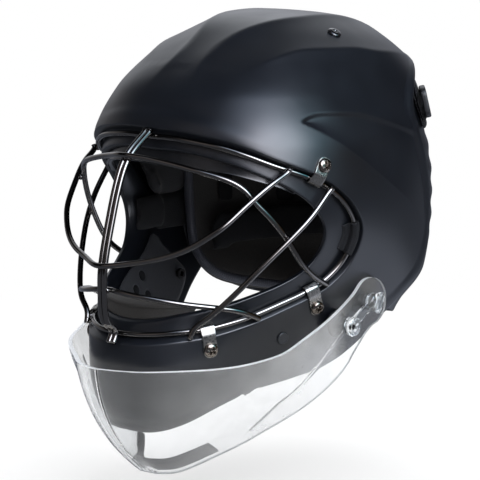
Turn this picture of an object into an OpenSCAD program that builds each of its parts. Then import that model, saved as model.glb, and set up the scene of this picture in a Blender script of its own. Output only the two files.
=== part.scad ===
// Field hockey goalkeeper's helmet, worn upright on a head.
// Millimetres. The origin is the middle of the head, the wearer looks along -Y,
// the wearer's left is +X and +Z is up.
// The shell is a star-shaped surface round the origin. Every piece takes its place
// from that surface, by an azimuth, an elevation and a distance outside it.

/* [Shell] */
// Half of the shell's width at the temples
half_width = 111; // [102:1:118]
// Reach of the brow in front of the origin
brow_reach = 122; // [114:1:130]
// Reach of the shell's surface behind the origin
rear_reach = 130; // [122:1:140]
// Height of the crown over the origin
crown_height = 134; // [126:1:142]
// Depth of the surface under the origin
chin_depth = 190; // [182:1:198]
// Squareness of the shell, 2 is an ellipsoid
squareness = 2.3; // [2.2:0.05:2.4]
// Share of the width that the jaw loses
jaw_taper = 0.38; // [0.34:0.01:0.4]
// Distance that the chin stands forward
chin_forward = 51; // [47:1:54]
// Distance that the crown leans back
crown_lean = 18; // [14:1:22]
// Wall of the shell
wall = 4; // [3:0.5:5]
// Outward flare of the shell's lower and rear edge
edge_flare = 1.2; // [0:0.2:1.6]

/* [Face opening] */
// Depth of the cage's seat under the shell's surface
seat_depth = 8; // [6.5:0.5:9]
// Slope of the seat's side wall
seat_slope = 1.4; // [1:0.2:2]

/* [Cage] */
// Diameter of the cage's wire
wire_d = 4; // [3.5:0.25:4.5]
// Distance of the rim wire from the seat's side wall
rim_inset = 4.4; // [4:0.2:5]
// Distance that the middle bars stand outside the shell's surface
nose_out = 27; // [24:1:30]
// Gap that the weld bead fills where two wires cross
weld_gap = 0.3; // [0.2:0.05:0.5]

/* [Clips and screws] */
// Width of a cage clip
clip_w = 10; // [8:0.5:11]
// Thickness of a clip's sheet
clip_t = 1.2; // [1:0.1:1.4]
// Clearance under a clip
clip_gap = 0.3; // [0.2:0.05:0.4]
// Clearance between a clip's hook and the wire in it
hook_gap = 0.6; // [0.5:0.05:0.7]
// Diameter of a screw's shank
screw_d = 4; // [3.5:0.5:4.5]
// Diameter of a screw's pan head
screw_head_d = 10; // [9:0.5:11]
// Height of a screw's pan head
screw_head_h = 3; // [2.5:0.25:3.5]
// Clearance between a screw and its bore
bore_gap = 0.2; // [0.1:0.05:0.3]

/* [Throat guard] */
// Thickness of the clear sheet
guard_t = 3; // [2.5:0.25:3.5]
// Distance of the guard in front of the chin
guard_standoff = 18; // [16:1:21]
// Distance that the guard hangs below the chin
guard_below = 34; // [28:1:38]
// Forward bulge of the sheet between its two edges
guard_bulge = 13; // [11.5:0.5:15]
// Radius of the tab round the pivot
tab_r = 17; // [15.5:0.5:18]
// Length of the bosses that carry the guard, over the shell's surface
boss_out = 6; // [5.5:0.25:7]
// Radius of the bosses
boss_r = 6; // [5.5:0.25:6.5]
// Distance from the pivot to the clamp screw
clamp_reach = 27; // [26:0.5:28]
// Angle of the clamp screw below the horizontal
clamp_angle = 32; // [29:1:35]
// Swing of the guard down and back
guard_down = 9; // [5:1:11]
// Swing of the guard up towards the chin
guard_up = 2; // [1:0.5:2]
// Gap between pieces that turn on each other
turn_gap = 0.35; // [0.3:0.05:0.5]
// Diameter of the clear heads
knob_d = 14; // [12:0.5:15]
// Height of the black strip along the guard's lower edge
strip_h = 13; // [10:1:15]
// Thickness of the black strip
strip_t = 3; // [2:0.5:4]

/* [Back plate] */
// Distance that the back plate sits behind the shell's surface
plate_back = 7; // [5:0.5:9]
// Depth of the back plate's outer face under that surface
plate_sink = 6.5; // [6:0.25:7.5]
// Thickness of the back plate
plate_t = 3.5; // [3:0.25:4]
// Distance that the plate's lower edge is drawn in towards the neck
plate_tuck = 14; // [12:1:17]
// Thickness of the foam liner in the back plate
plate_liner_t = 12; // [9:1:13]

/* [Padding] */
// Thickness of the crown pads
crown_pad_t = 13; // [10:1:15]
// Thickness of the cheek pads
cheek_pad_t = 16; // [12:1:18]
// Thickness of the brow pad
brow_pad_t = 9; // [7:1:11]
// Thickness of the chin pad
chin_pad_t = 12; // [9:1:14]
// Gap between a pad and the wall that it is stuck to
pad_gap = 0.35; // [0.3:0.05:0.5]
// Diameter of the holes in the cheek pads
pad_hole_d = 10; // [8:0.5:12]

/* [Hidden] */

// Smooth step from 0 to 1
function ease(t) = let (u = max(0, min(1, t))) u * u * (3 - 2 * u);
function unit(v) = v / norm(v);
function mix(a, b, t) = a * (1 - t) + b * t;
// Unit direction of an azimuth from -Y towards +X and an elevation
function dir(az, el) = [sin(az) * cos(el), -cos(az) * cos(el), sin(el)];
function mirrored(p) = [-p.x, p.y, p.z];
function slerp(a, b, t) = let (w = acos(max(-1, min(1, a * b))))
    w < 0.01 ? a : unit((sin((1 - t) * w) * a + sin(t * w) * b) / sin(w));

// The shell's outer surface, grown by out, in the direction d
function surf(d, out = 0) = let (n = unit(d),
        front = n.y < 0 ? brow_reach : rear_reach,
        tall = n.z < 0 ? chin_depth : crown_height,
        s = squareness,
        r = pow(pow(abs(n.x) / half_width, s) + pow(abs(n.y) / front, s) + pow(abs(n.z) / tall, s), -1 / s))
    lean(n * (r + out));
// Taper of the jaw, push of the chin and lean of the crown
function lean(q) = let (low = ease((taper_from - q.z) / taper_run),
        fore = pow(max(0, min(1, (fore_end - q.y) / fore_run)), 0.8),
        push = ease((push_from - q.z) / push_run) * ease((push_end - q.y) / push_depth),
        rise = mix(lean_front, lean_rear, ease((q.y + lean_step) / (2.5 * lean_step))))
    [q.x * (1 - jaw_taper * low * fore),
        q.y - chin_forward * push + crown_lean * ease((q.z - rise) / lean_step), q.z];
// Heights and places along Y where the taper, the push and the lean begin, and how far they run
taper_from = 10;
taper_run = 110;
fore_end = 70;
fore_run = 190;
push_from = 20;
push_run = 170;
push_end = 60;
push_depth = 160;
lean_front = 80;
lean_rear = 60;
lean_step = 40;
// Normal of the surface in the direction of azimuth az and elevation el
function normal(az, el) = let (step = 0.5,
        a = surf(dir(az + step, el)) - surf(dir(az - step, el)),
        b = surf(dir(az, el + step)) - surf(dir(az, el - step)))
    unit(cross(a, b));

// Catmull-Rom point between b and c
function spline(a, b, c, d, t) = 0.5 * (2 * b + (c - a) * t + (2 * a - 5 * b + 4 * c - d) * t * t
        + (3 * b - a - 3 * c + d) * t * t * t);
// Points along an open list, count steps a span
function smooth_open(p, count) = let (n = len(p)) concat(
    [for (i = [0 : n - 2], k = [0 : count - 1])
        spline(p[max(0, i - 1)], p[i], p[i + 1], p[min(n - 1, i + 2)], k / count)],
    [p[n - 1]]);
// Points round a closed list, count steps a span
function smooth_closed(p, count) = let (n = len(p))
    [for (i = [0 : n - 1], k = [0 : count - 1])
        spline(p[(i + n - 1) % n], p[i], p[(i + 1) % n], p[(i + 2) % n], k / count)];
// Directions round the whole face from a list for the left half, chin first
function around(half) = let (n = len(half)) [for (d = smooth_closed(concat(
    [for (p = half) dir(p[0], p[1])],
    [for (i = [n - 2 : -1 : 1]) dir(-half[i][0], half[i][1])]), station_steps)) unit(d)];
station_steps = 2;

// Azimuth and elevation of the face opening's outer edge, from the chin up to the brow
seat_edge = [[0, -38], [17, -37.5], [33, -36.5], [47, -35.5], [58, -33.5], [66, -31], [73, -28.5],
    [79, -25.5], [83.5, -20], [85.5, -13], [85, -6], [81, 0.5], [74, 7.5], [64, 13.5], [50, 18.5],
    [40, 22], [31, 24.5], [22, 26], [11, 27.3], [0, 27.5]];
// The same for the edge of the hole in the seat
hole_edge = [[0, -34.5], [16, -33.5], [30, -31.5], [41, -30], [50, -28], [57, -26], [62.5, -24],
    [67.5, -21], [70.5, -16.5], [71.5, -11], [70, -5], [66, 0.5], [60, 6], [52.5, 10.5], [43, 14.5],
    [35, 17.5], [27.5, 19.5], [20, 21], [10, 22], [0, 22]];
// The same for the shell's lower and rear edge
shell_edge = [[0, -61], [20, -60.5], [38, -58], [52, -54.5], [64, -52], [76, -51], [87, -49.5],
    [96, -45.5], [106, -37], [115, -29.5], [123, -22], [127, -12], [128, 0], [125, 14], [123, 27],
    [127, 36], [136, 41], [150, 43], [165, 44], [180, 44.5]];
seat_dirs = around(seat_edge);
hole_dirs = around(hole_edge);
edge_dirs = around(shell_edge);
stations = len(seat_dirs);

// Length on the surface between two directions, in mm
function run(a, b) = acos(max(-1, min(1, a * b))) * PI / 180 * norm(surf(unit(a + b)));
// Direction at station i, mm outside the seat's edge, or inside it where mm is negative
function off_edge(i, mm) = mm >= 0
    ? slerp(seat_dirs[i], edge_dirs[i], mm / run(seat_dirs[i], edge_dirs[i]))
    : slerp(seat_dirs[i], hole_dirs[i], -mm / run(seat_dirs[i], hole_dirs[i]));
function share(i, s) = s >= 0 ? slerp(seat_dirs[i], edge_dirs[i], s) : slerp(seat_dirs[i], hole_dirs[i], -s);
function from_rear(i, mm) = share(i, 1 - mm / run(seat_dirs[i], edge_dirs[i]));

// A closed band of rings round the face, each ring a list of points
module ring_band(rings) {
    m = len(rings);
    n = len(rings[0]);
    polyhedron(points = [for (r = rings) for (p = r) p],
        faces = [for (j = [0 : m - 1], i = [0 : n - 1], half = [0, 1])
            let (a = j * n + i, b = j * n + (i + 1) % n,
                c = ((j + 1) % m) * n + (i + 1) % n, d = ((j + 1) % m) * n + i)
            half == 0 ? [a, b, c] : [a, c, d]], convexity = 12);
}

round_edge = 0.9;
outer_shares = [0.05, 0.13, 0.23, 0.34, 0.45, 0.56, 0.67, 0.78, 0.9];
inner_shares = [0.9, 0.78, 0.67, 0.56, 0.45, 0.34, 0.23, 0.14];
// Room for the flats of the shell's faces behind what lies on them
flat_room = 1.4;
flare_run = 7;
module shell_skin() {
    all = [0 : stations - 1];
    ring_band(concat(
        [[for (i = all) surf(hole_dirs[i], -seat_depth)]],
        [[for (i = all) surf(share(i, -0.5), -seat_depth)]],
        [[for (i = all) surf(off_edge(i, -seat_slope), -seat_depth)]],
        [[for (i = all) surf(seat_dirs[i], -round_edge)]],
        [[for (i = all) surf(off_edge(i, round_edge), 0)]],
        [for (s = outer_shares) [for (i = all) surf(share(i, s), 0)]],
        [[for (i = all) surf(from_rear(i, flare_run * 0.35), edge_flare)]],
        [[for (i = all) surf(from_rear(i, round_edge), edge_flare)]],
        [[for (i = all) surf(edge_dirs[i], edge_flare - round_edge)]],
        [[for (i = all) surf(edge_dirs[i], edge_flare + round_edge - wall)]],
        [[for (i = all) surf(from_rear(i, round_edge), edge_flare - wall)]],
        [for (s = inner_shares) [for (i = all) surf(share(i, s), -wall)]],
        [[for (i = all) surf(off_edge(i, wall), -wall - round_edge)]],
        [[for (i = all) surf(off_edge(i, wall - seat_slope), -seat_depth - wall)]],
        [[for (i = all) surf(share(i, -0.5), -seat_depth - wall)]],
        [[for (i = all) surf(hole_dirs[i], -seat_depth - wall)]]));
}

// Put the children at point p with their Z along n and their X along t
module seat_at(p, t, n) {
    z = unit(n);
    x = unit(t - z * (t * z));
    y = cross(z, x);
    multmatrix([[x.x, y.x, z.x, p.x], [x.y, y.y, z.y, p.y], [x.z, y.z, z.z, p.z], [0, 0, 0, 1]]) children();
}
module on_surface(az, el, out = 0) {
    n = normal(az, el);
    seat_at(surf(dir(az, el)) + n * out, [0, 0, 1], n) children();
}

// Rim wire of the cage, lying over the seat
rim_rise = 1.6;
rim_out = -seat_depth + rim_rise + wire_d / 2;
rim_points = [for (i = [0 : stations - 1]) surf(off_edge(i, -rim_inset), rim_out)];
// Distance outside the surface of a bar that lies over the rim wire
lap = wire_d + weld_gap;
over_rim = rim_out + lap;

// Clips: azimuth and elevation of the screw, by name
clip_places = [["upper", 65.5, 17.3], ["rear", 77.5, -31.5], ["front", 46.4, -39.2]];
function clip_spot(name) = [for (c = clip_places) if (c[0] == name) c][0];
// Nearest point to p of the wire between stations i and i + 1, with the wire's direction there
function on_span(p, i) = let (a = rim_points[i], b = rim_points[(i + 1) % stations], v = b - a,
        t = max(0, min(1, (p - a) * v / (v * v))))
    [a + v * t, unit(v)];
function nearest(p) = let (q = [for (i = [0 : stations - 1]) on_span(p, i)],
        d = [for (c = q) norm(p - c[0])],
        m = min(d))
    [for (i = [0 : stations - 1]) if (d[i] == m) q[i]][0];

// Screw point, its normal, the nearest point of the rim wire and the way there, square to the wire
function clip_frame(name) = let (c = clip_spot(name),
        p = surf(dir(c[1], c[2])),
        q = nearest(p),
        n = normal(c[1], c[2]),
        x = cross(q[1], n))
    [p, n, q[0], unit(x) * (x * (q[0] - p) < 0 ? -1 : 1)];

// Outline of a strip of thickness t along a flat line
function side(line, i) = let (n = len(line),
        a = i == 0 ? line[1] - line[0] : unit(line[i] - line[i - 1]),
        b = i == n - 1 ? line[i] - line[i - 1] : unit(line[i + 1] - line[i]),
        u = unit(a), v = unit(b), m = unit(u + v))
    [-m.y, m.x] / max(0.5, m * u);
function strip_outline(line, t) = concat(
    [for (i = [0 : len(line) - 1]) line[i] + side(line, i) * t / 2],
    [for (i = [len(line) - 1 : -1 : 0]) line[i] - side(line, i) * t / 2]);

clip_tail = 6;
hook_start = 70;
hook_end = -35;
module clip(name) {
    f = clip_frame(name);
    s = f[0];
    n = f[1];
    w = f[2] - s;
    t = f[3];
    cx = w * t;
    cz = w * n;
    mid = clip_gap + clip_t / 2;
    bend = wire_d / 2 + hook_gap + clip_t / 2;
    edge_x = cx - rim_inset + 1;
    line = concat([[-clip_tail, mid], [edge_x, mid]],
        [for (k = [0 : 8]) let (a = mix(hook_start, hook_end, k / 8))
            [cx + bend * cos(a), cz + bend * sin(a)]]);
    color("silver") seat_at(s, t, n) difference() {
        rotate([90, 0, 0]) linear_extrude(clip_w, center = true) polygon(strip_outline(line, clip_t));
        cylinder(d = screw_d + 2 * bore_gap, h = 8, center = true, $fn = 32);
    }
}

// Pan-head screw with a cross recess, its head's underside at z = 0
recess_w = 1.3;
recess_depth = 1.8;
module pan_screw(long) {
    difference() {
        rotate_extrude($fn = 40) polygon([[0, -long], [screw_d / 2, -long], [screw_d / 2, 0],
            [screw_head_d / 2, 0], [screw_head_d / 2, screw_head_h * 0.35],
            [screw_head_d * 0.43, screw_head_h * 0.72], [screw_head_d * 0.28, screw_head_h * 0.93],
            [0, screw_head_h]]);
        for (a = [0, 90]) rotate(a)
            translate([-screw_head_d * 0.28, -recess_w / 2, screw_head_h - recess_depth])
                cube([screw_head_d * 0.56, recess_w, recess_depth + 1]);
    }
}
nut_r = 4;
nut_h = 2.6;
module nut(bore) {
    difference() {
        cylinder(r = nut_r, h = nut_h, $fn = 6);
        translate([0, 0, -1]) cylinder(d = bore, h = nut_h + 2, $fn = 32);
    }
}
clip_names = [for (c = clip_places) c[0]];
head_seat = clip_gap + clip_t + 0.05;
module clip_screw(name) {
    f = clip_frame(name);
    color("silver") seat_at(f[0], f[3], f[1]) translate([0, 0, head_seat])
        pan_screw(head_seat + wall + flat_room + nut_h);
}
module clip_nuts() {
    color("dimgray") for (name = clip_names) {
        f = clip_frame(name);
        seat_at(f[0], f[3], f[1]) translate([0, 0, -wall - flat_room - nut_h])
            nut(screw_d + 0.04);
    }
}
module clip_bores() {
    for (name = clip_names) {
        f = clip_frame(name);
        seat_at(f[0], f[3], f[1]) cylinder(d = screw_d + 2 * bore_gap, h = 6 * wall, center = true, $fn = 24);
    }
}

// A closed solid between two grids of points with the same rows and columns
module slab(outer, inner) {
    r = len(outer);
    n = len(outer[0]);
    m = r * n;
    quads = [for (j = [0 : r - 2], i = [0 : n - 2]) j * n + i];
    faces = concat(
        [for (a = quads, f = [0 : 3]) let (b = a + 1, c = a + n + 1, d = a + n)
            f == 0 ? [a, b, c] : f == 1 ? [a, c, d] : f == 2 ? [m + a, m + c, m + b] : [m + a, m + d, m + c]],
        [for (i = [0 : n - 2], f = [0 : 3]) let (a = i, b = i + 1, e = (r - 1) * n + i, g = e + 1)
            f == 0 ? [a, m + a, b] : f == 1 ? [b, m + a, m + b] : f == 2 ? [e, g, m + e] : [g, m + g, m + e]],
        [for (j = [0 : r - 2], f = [0 : 3]) let (a = j * n, b = a + n, e = j * n + n - 1, g = e + n)
            f == 0 ? [a, b, m + a] : f == 1 ? [b, m + b, m + a]
                : f == 2 ? [e, m + e, g] : [g, m + e, m + g]]);
    polyhedron(points = concat([for (row = outer) for (p = row) p], [for (row = inner) for (p = row) p]),
        faces = faces, convexity = 6);
}

// Wires: a tube of 8 sides along a list of points
wire_sides = 8;
// Corners of the polygon of inner radius r round point p of a wire that runs along t
function wire_ring(p, t, r) = let (out = unit(p - t * (p * t)), across = cross(t, out))
    [for (k = [0 : wire_sides - 1]) let (a = (k + 0.5) * 360 / wire_sides)
        p + (out * cos(a) + across * sin(a)) * r / cos(180 / wire_sides)];
module tube(path, d, closed = false) {
    n = len(path);
    tangent = [for (i = [0 : n - 1]) closed
        ? unit(path[(i + 1) % n] - path[(i + n - 1) % n])
        : unit(path[min(n - 1, i + 1)] - path[max(0, i - 1)])];
    rings = [for (i = [0 : n - 1]) wire_ring(path[i], tangent[i], d / 2)];
    spans = closed ? n - 1 : n - 2;
    walls = [for (i = [0 : spans], k = [0 : wire_sides - 1], half = [0, 1])
        let (a = i * wire_sides + k, b = i * wire_sides + (k + 1) % wire_sides,
            c = ((i + 1) % n) * wire_sides + (k + 1) % wire_sides, e = ((i + 1) % n) * wire_sides + k)
        half == 0 ? [a, c, b] : [a, e, c]];
    caps = closed ? [] : concat(
        [for (k = [1 : wire_sides - 2]) [0, k, k + 1]],
        [for (k = [1 : wire_sides - 2]) let (z = (n - 1) * wire_sides) [z, z + k + 1, z + k]]);
    polyhedron(points = [for (r = rings) for (p = r) p], faces = concat(walls, caps), convexity = 6);
}
// Points of a bar from its azimuths, elevations and distances outside the surface
function bar(list) = [for (p = list) surf(dir(p[0], p[1]), p[2])];

// What a crossing on a sloping stretch needs over one on a level stretch
slope = 1.12;
// The same where a bar comes down on the rim wire
end_slope = 1.3;
// How far a bar runs on past the rim wire's middle
bar_stub = 1.5;
// The last point of a bar lies over the rim wire at a station, counted from the chin up to the brow
function rim_end(s) = let (i = floor(s), t = s - i, mm = bar_stub - rim_inset,
        d = unit(mix(off_edge(i, mm), off_edge((i + 1) % stations, mm), t)))
    surf(d, rim_out + end_slope * lap / (d * normal(atan2(d.x, -d.y), asin(d.z))));
// Azimuth, elevation and distance outside the surface of each bar's points, from the middle out
brow_station = stations / 2;
middle_line = [[0, 26, over_rim], [0, 17, nose_out - 11], [0, 8.7, nose_out - 4], [0, 0, nose_out],
    [0, -12, nose_out], [0, -20, nose_out - 5.5], [0, -29, nose_out - 13.5], [0, -34, over_rim + 2]];
brow_line = [[0, 17, nose_out - 10.5 + slope * lap], [10, 16.8, 11], [24, 14.4, 7.5], [33, 12.3, 5],
    [38, 9.5, 3.5], [41, 6, 2], [47, 0.5, 0], [55, -7, over_rim - 0.5], [66, -17.5, over_rim + 1.4]];
eye_line = [[0, -12, nose_out + slope * lap], [9, -11.5, 24], [18, -10, 21], [25, -7.5, 19], [30, -4, 17],
    [34, -0.5, 14.5], [38.5, 4.5, 9.5], [46, 11, 4.5], [52, 15, over_rim]];
cross_line = [[67, 8, over_rim], [61, 0.5, 2], [55, -7, 4], [50.5, -14, 6], [47, -21, 8.3],
    [43, -27.5, 8], [38.5, -32, over_rim + 1.5]];
mouth_line = [[0, -20, nose_out - 5.5 - slope * lap], [10, -21, 15], [20, -22.5, 11], [31, -24.5, 6.5],
    [42, -26.6, 3], [51, -28.4, 2.4]];
brow_end = 14.2;
eye_end = 27.4;
cross_ends = [24.8, 4.8];
mouth_end = 8.6;
bar_steps = 3;
// Gap between the two middle bars
pair_gap = 0.06;
module wire(points) {
    color("lightslategray") tube(smooth_open(points, bar_steps), wire_d);
}
// A bar that runs across the face, from the list for its left half and the station of its end
module across_wire(list, end) {
    half = concat(bar(list), [rim_end(end)]);
    wire(concat([for (i = [len(half) - 1 : -1 : 1]) mirrored(half[i])], half));
}
module cross_bar() {
    wire(concat([rim_end(cross_ends[0])], bar(cross_line), [rim_end(cross_ends[1])]));
}
module cage_rim() {
    color("lightslategray") tube(rim_points, wire_d, closed = true);
}
module cage_middle_bars() {
    line = smooth_open(concat([rim_end(brow_station)], bar(middle_line), [rim_end(0)]), bar_steps);
    for (s = [-1, 1]) color("lightslategray")
        tube([for (p = line) p + [s * (wire_d / 2 + pair_gap / 2), 0, 0]], wire_d);
}

// Loop of webbing round the rim wire at the temple, from one station of the rim to another
loop_t = 0.8;
loop_gap = 0.1;
loop_from = 18;
loop_to = 21;
module rim_loop() {
    ring = function (i, r) wire_ring(rim_points[i], unit(rim_points[i + 1] - rim_points[i - 1]), r);
    inside = wire_d / 2 + loop_gap;
    color("black") ring_band(concat([for (i = [loop_from : loop_to]) ring(i, inside)],
        [for (i = [loop_to : -1 : loop_from]) ring(i, inside + loop_t)]));
}

// Throat guard: pivot and clamp screw on bosses at the jaw
pivot_spot = [95, -31.6];
pivot = surf(dir(pivot_spot[0], pivot_spot[1]));
boss_x = pivot.x + boss_out;
// Depth of the bosses inside the shell's surface at the pivot
boss_depth = 13;
clamp = [pivot.x, pivot.y - clamp_reach * cos(clamp_angle), pivot.z - clamp_reach * sin(clamp_angle)];
guard_x = boss_x + turn_gap + guard_t;
chin_front = surf(dir(0, -45));
chin_bottom = surf(dir(0, -61));
guard_reach = pivot.y - chin_front.y + guard_standoff;
guard_drop = pivot.z - chin_bottom.z + guard_below;
// Shares of the half width, the reach and the drop along the upper and lower edges
upper_edge = [[0, 1, 0.32], [0.16, 0.97, 0.322], [0.31, 0.915, 0.325], [0.48, 0.83, 0.32],
    [0.68, 0.735, 0.305], [0.83, 0.635, 0.28], [0.93, 0.5, 0.235], [0.985, 0.4, 0.16],
    [1, 0.29, 0.09], [1, 0.19, 0.02], [1, 0.1, -0.06], [1, 0.06, -0.09]];
lower_edge = [[0, 0.69, 1], [0.1, 0.68, 1], [0.21, 0.62, 0.985], [0.38, 0.5, 0.89],
    [0.55, 0.41, 0.79], [0.72, 0.33, 0.68], [0.86, 0.26, 0.57], [0.96, 0.19, 0.45],
    [1, 0.14, 0.36], [1, 0.09, 0.28], [1, 0.04, 0.2], [1, 0.0, 0.15]];
function guard_point(p) = [guard_x * p.x, pivot.y - guard_reach * p.y, pivot.z - guard_drop * p.z];
guard_steps = 2;
function guard_rail(list) = let (half = smooth_open([for (p = list) guard_point(p)], guard_steps),
        n = len(half))
    concat([for (i = [n - 1 : -1 : 1]) mirrored(half[i])], half);
guard_top = guard_rail(upper_edge);
guard_low = guard_rail(lower_edge);
guard_cols = len(guard_top);
guard_rows = 5;
// Way that the sheet bulges, forward and a little down, and how fast the bulge grows from the tabs in
bulge_way = [0, -0.85, -0.3];
bulge_rate = 2.5;
// A point of the sheet's outer face, column i and share s from the upper edge down
function sheet(i, s) = let (a = guard_top[i], b = guard_low[i], u = 1 - abs(i * 2 / (guard_cols - 1) - 1),
        push = guard_bulge * 4 * s * (1 - s) * ease(u * bulge_rate))
    mix(a, b, s) + bulge_way * push;
function sheet_normal(i, s) = let (j = max(1, min(guard_cols - 2, i)),
        a = sheet(j + 1, s) - sheet(j - 1, s),
        b = sheet(i, min(1, s + 0.1)) - sheet(i, max(0, s - 0.1)))
    unit(cross(b, a));
// Part of the sheet between columns i0 and i1 and shares s0 and s1, from depth d0 to d1
module sheet_piece(i0, i1, s0, s1, d0, d1, rows) {
    faces = [for (d = [d0, d1]) [for (r = [0 : rows]) [for (i = [i0 : i1])
        let (s = mix(s0, s1, r / rows)) sheet(i, s) - sheet_normal(i, s) * d]]];
    slab(faces[0], faces[1]);
}
// Put the children at a guard point of one side, with Z pointing out along X from x
module at_side(p, side, x) {
    translate([side * x, p.y, p.z]) rotate([0, side * 90, 0]) children();
}
// Turn about X from the pivot to the clamp screw, in the children's plane
function clamp_turn(side) = side * clamp_angle - 90;
bore_d = screw_d + 2 * bore_gap;
slot_d = screw_d + 2 * turn_gap;
// Arc slot for the clamp screw about the pivot, cut along X
module clamp_slot(side) {
    ends = side > 0 ? [-guard_down, guard_up] : [-guard_up, guard_down];
    at_side(pivot, side, guard_x - 2 * guard_t) rotate(clamp_turn(side)) {
        rotate(ends[0]) rotate_extrude(angle = ends[1] - ends[0], $fn = 96)
            translate([clamp_reach - slot_d / 2, 0]) square([slot_d, 3 * guard_t]);
        for (a = ends) rotate(a) translate([clamp_reach, 0, 0])
            cylinder(d = slot_d, h = 3 * guard_t, $fn = 32);
    }
}
module throat_guard() {
    color([0.85, 0.9, 0.95, 0.5]) difference() {
        union() {
            sheet_piece(0, guard_cols - 1, 0, 1, 0, guard_t, guard_rows);
            for (s = [-1, 1]) at_side(pivot, s, guard_x - guard_t) cylinder(r = tab_r, h = guard_t, $fn = 64);
        }
        for (s = [-1, 1]) at_side(pivot, s, guard_x - 2 * guard_t)
            cylinder(d = bore_d, h = 3 * guard_t, $fn = 32);
        for (s = [-1, 1]) clamp_slot(s);
    }
}
// Black strip inside the guard's lower edge
strip_cols = 6;
strip_seat = 0.5;
strip_foot = 0.99;
module guard_strip() {
    mid = (guard_cols - 1) / 2;
    from = 1 - strip_h / norm(guard_top[mid] - guard_low[mid]);
    color("black") sheet_piece(mid - strip_cols, mid + strip_cols, from, strip_foot,
        guard_t + strip_seat, guard_t + strip_seat + strip_t, 1);
}
// Clear link between the two screws
link_t = 2.5;
link_r = 6.5;
link_bar = 7;
link_x = guard_x + turn_gap;
module guard_link(side) {
    color([0.85, 0.9, 0.95, 0.6]) difference() {
        union() {
            for (p = [pivot, clamp]) at_side(p, side, link_x)
                cylinder(r = link_r, h = link_t, $fn = 48);
            at_side(pivot, side, link_x) rotate(clamp_turn(side))
                translate([0, -link_bar / 2, 0]) cube([clamp_reach, link_bar, link_t]);
        }
        for (p = [pivot, clamp]) at_side(p, side, link_x - 1)
            cylinder(d = bore_d, h = link_t + 2, $fn = 32);
    }
}
// Clear screws: a round cross head at the clamp and a winged head at the pivot
head_x = link_x + link_t + 0.05;
nut_x = pivot.x - boss_depth;
knob_h = 4;
wing_l = 15;
wing_w = 5;
wing_h = 3;
shank_long = head_x - nut_x + nut_h;
module clamp_screw(side) {
    color([0.85, 0.9, 0.95, 0.6]) at_side(clamp, side, head_x) difference() {
        rotate_extrude($fn = 48) polygon([[0, -shank_long], [screw_d / 2, -shank_long], [screw_d / 2, 0],
            [knob_d / 2, 0], [knob_d / 2, knob_h * 0.6], [knob_d * 0.42, knob_h * 0.85],
            [knob_d * 0.32, knob_h], [0, knob_h]]);
        for (a = [0, 90]) rotate(a + 20) translate([-knob_d * 0.26, -recess_w * 0.8, knob_h - recess_depth])
            cube([knob_d * 0.52, recess_w * 1.6, recess_depth + 1]);
    }
}
module pivot_screw(side) {
    color([0.85, 0.9, 0.95, 0.6]) at_side(pivot, side, head_x) {
        rotate_extrude($fn = 48) polygon([[0, -shank_long], [screw_d / 2, -shank_long], [screw_d / 2, 0],
            [knob_d * 0.46, 0], [knob_d * 0.46, knob_h * 0.7], [knob_d * 0.36, knob_h], [0, knob_h]]);
        rotate(35) translate([-wing_l / 2, -wing_w / 2, knob_h - 1]) cube([wing_l, wing_w, wing_h + 1]);
    }
}
module guard_nuts(side) {
    color("dimgray") for (p = [pivot, clamp]) at_side(p, side, nut_x - nut_h - 0.05) nut(screw_d + 0.04);
}
module guard_boss(p, side) {
    at_side(p, side, pivot.x - boss_depth) cylinder(r = boss_r, h = boss_x - pivot.x + boss_depth, $fn = 40);
}
module guard_bore(p, side) {
    at_side(p, side, pivot.x - 3 * boss_depth) cylinder(d = bore_d, h = 5 * boss_depth, $fn = 32);
}

// Round caps in the shell: azimuth and elevation
rivet_spot = [90.6, 65];
plug_spot = [69.9, -39.4];
rivet_d = 10;
plug_d = 9;
cap_h = 2.2;
washer_t = 1.2;
// A cap stands this much clear of the surface
cap_gap = 0.1;
module cap(spot, d) {
    behind = -wall - flat_room;
    on_surface(spot[0], spot[1]) rotate_extrude($fn = 40) polygon([
        [0, behind - washer_t], [d * 0.42, behind - washer_t], [d * 0.42, behind],
        [screw_d / 2, behind], [screw_d / 2, cap_gap], [d / 2, cap_gap], [d * 0.48, cap_h * 0.5],
        [d * 0.36, cap_h * 0.85], [0, cap_h]]);
}
module cap_bore(spot) {
    on_surface(spot[0], spot[1]) cylinder(d = bore_d, h = 6 * wall, center = true, $fn = 24);
}
module half_bores() {
    clip_bores();
    cap_bore(rivet_spot);
    cap_bore(plug_spot);
}
module shell() {
    color([0.13, 0.14, 0.16]) difference() {
        union() {
            shell_skin();
            for (s = [-1, 1], p = [pivot, clamp]) guard_boss(p, s);
        }
        for (s = [-1, 1], p = [pivot, clamp]) guard_bore(p, s);
        half_bores();
        mirror([1, 0, 0]) half_bores();
    }
}

// Where the plate steps back behind the shell, comes out from under its rear edge and is drawn in
// towards the neck: the component of the direction at which each begins, and how far it runs
step_back = [0.6, 0.25];
step_up = [0.72, 0.12];
tuck_from = [-0.4, 0.3];
// Distance outside the surface of the back plate's outer face in the direction n
function plate_out(n) = -plate_sink
    + plate_back * ease((n.y - step_back[0]) / step_back[1]) * ease((step_up[0] - n.z) / step_up[1])
    - plate_tuck * ease((tuck_from[0] - n.z) / tuck_from[1]);
// Direction at angles a across and e up from a centre: along the azimuth low down, round the crown high up
function around_spot(az, el, a, e) = let (c = dir(az, el), x = [cos(az), sin(az), 0], z = dir(az, el + 90))
    abs(el) < 45 ? dir(az + a, el + e) : x * sin(a) * cos(e) + c * cos(a) * cos(e) + z * sin(e);
// Edge of a rounded patch: 1 at phi on a superellipse
function corner(phi, power) = pow(pow(abs(cos(phi)), power) + pow(abs(sin(phi)), power), -1 / power);

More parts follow.
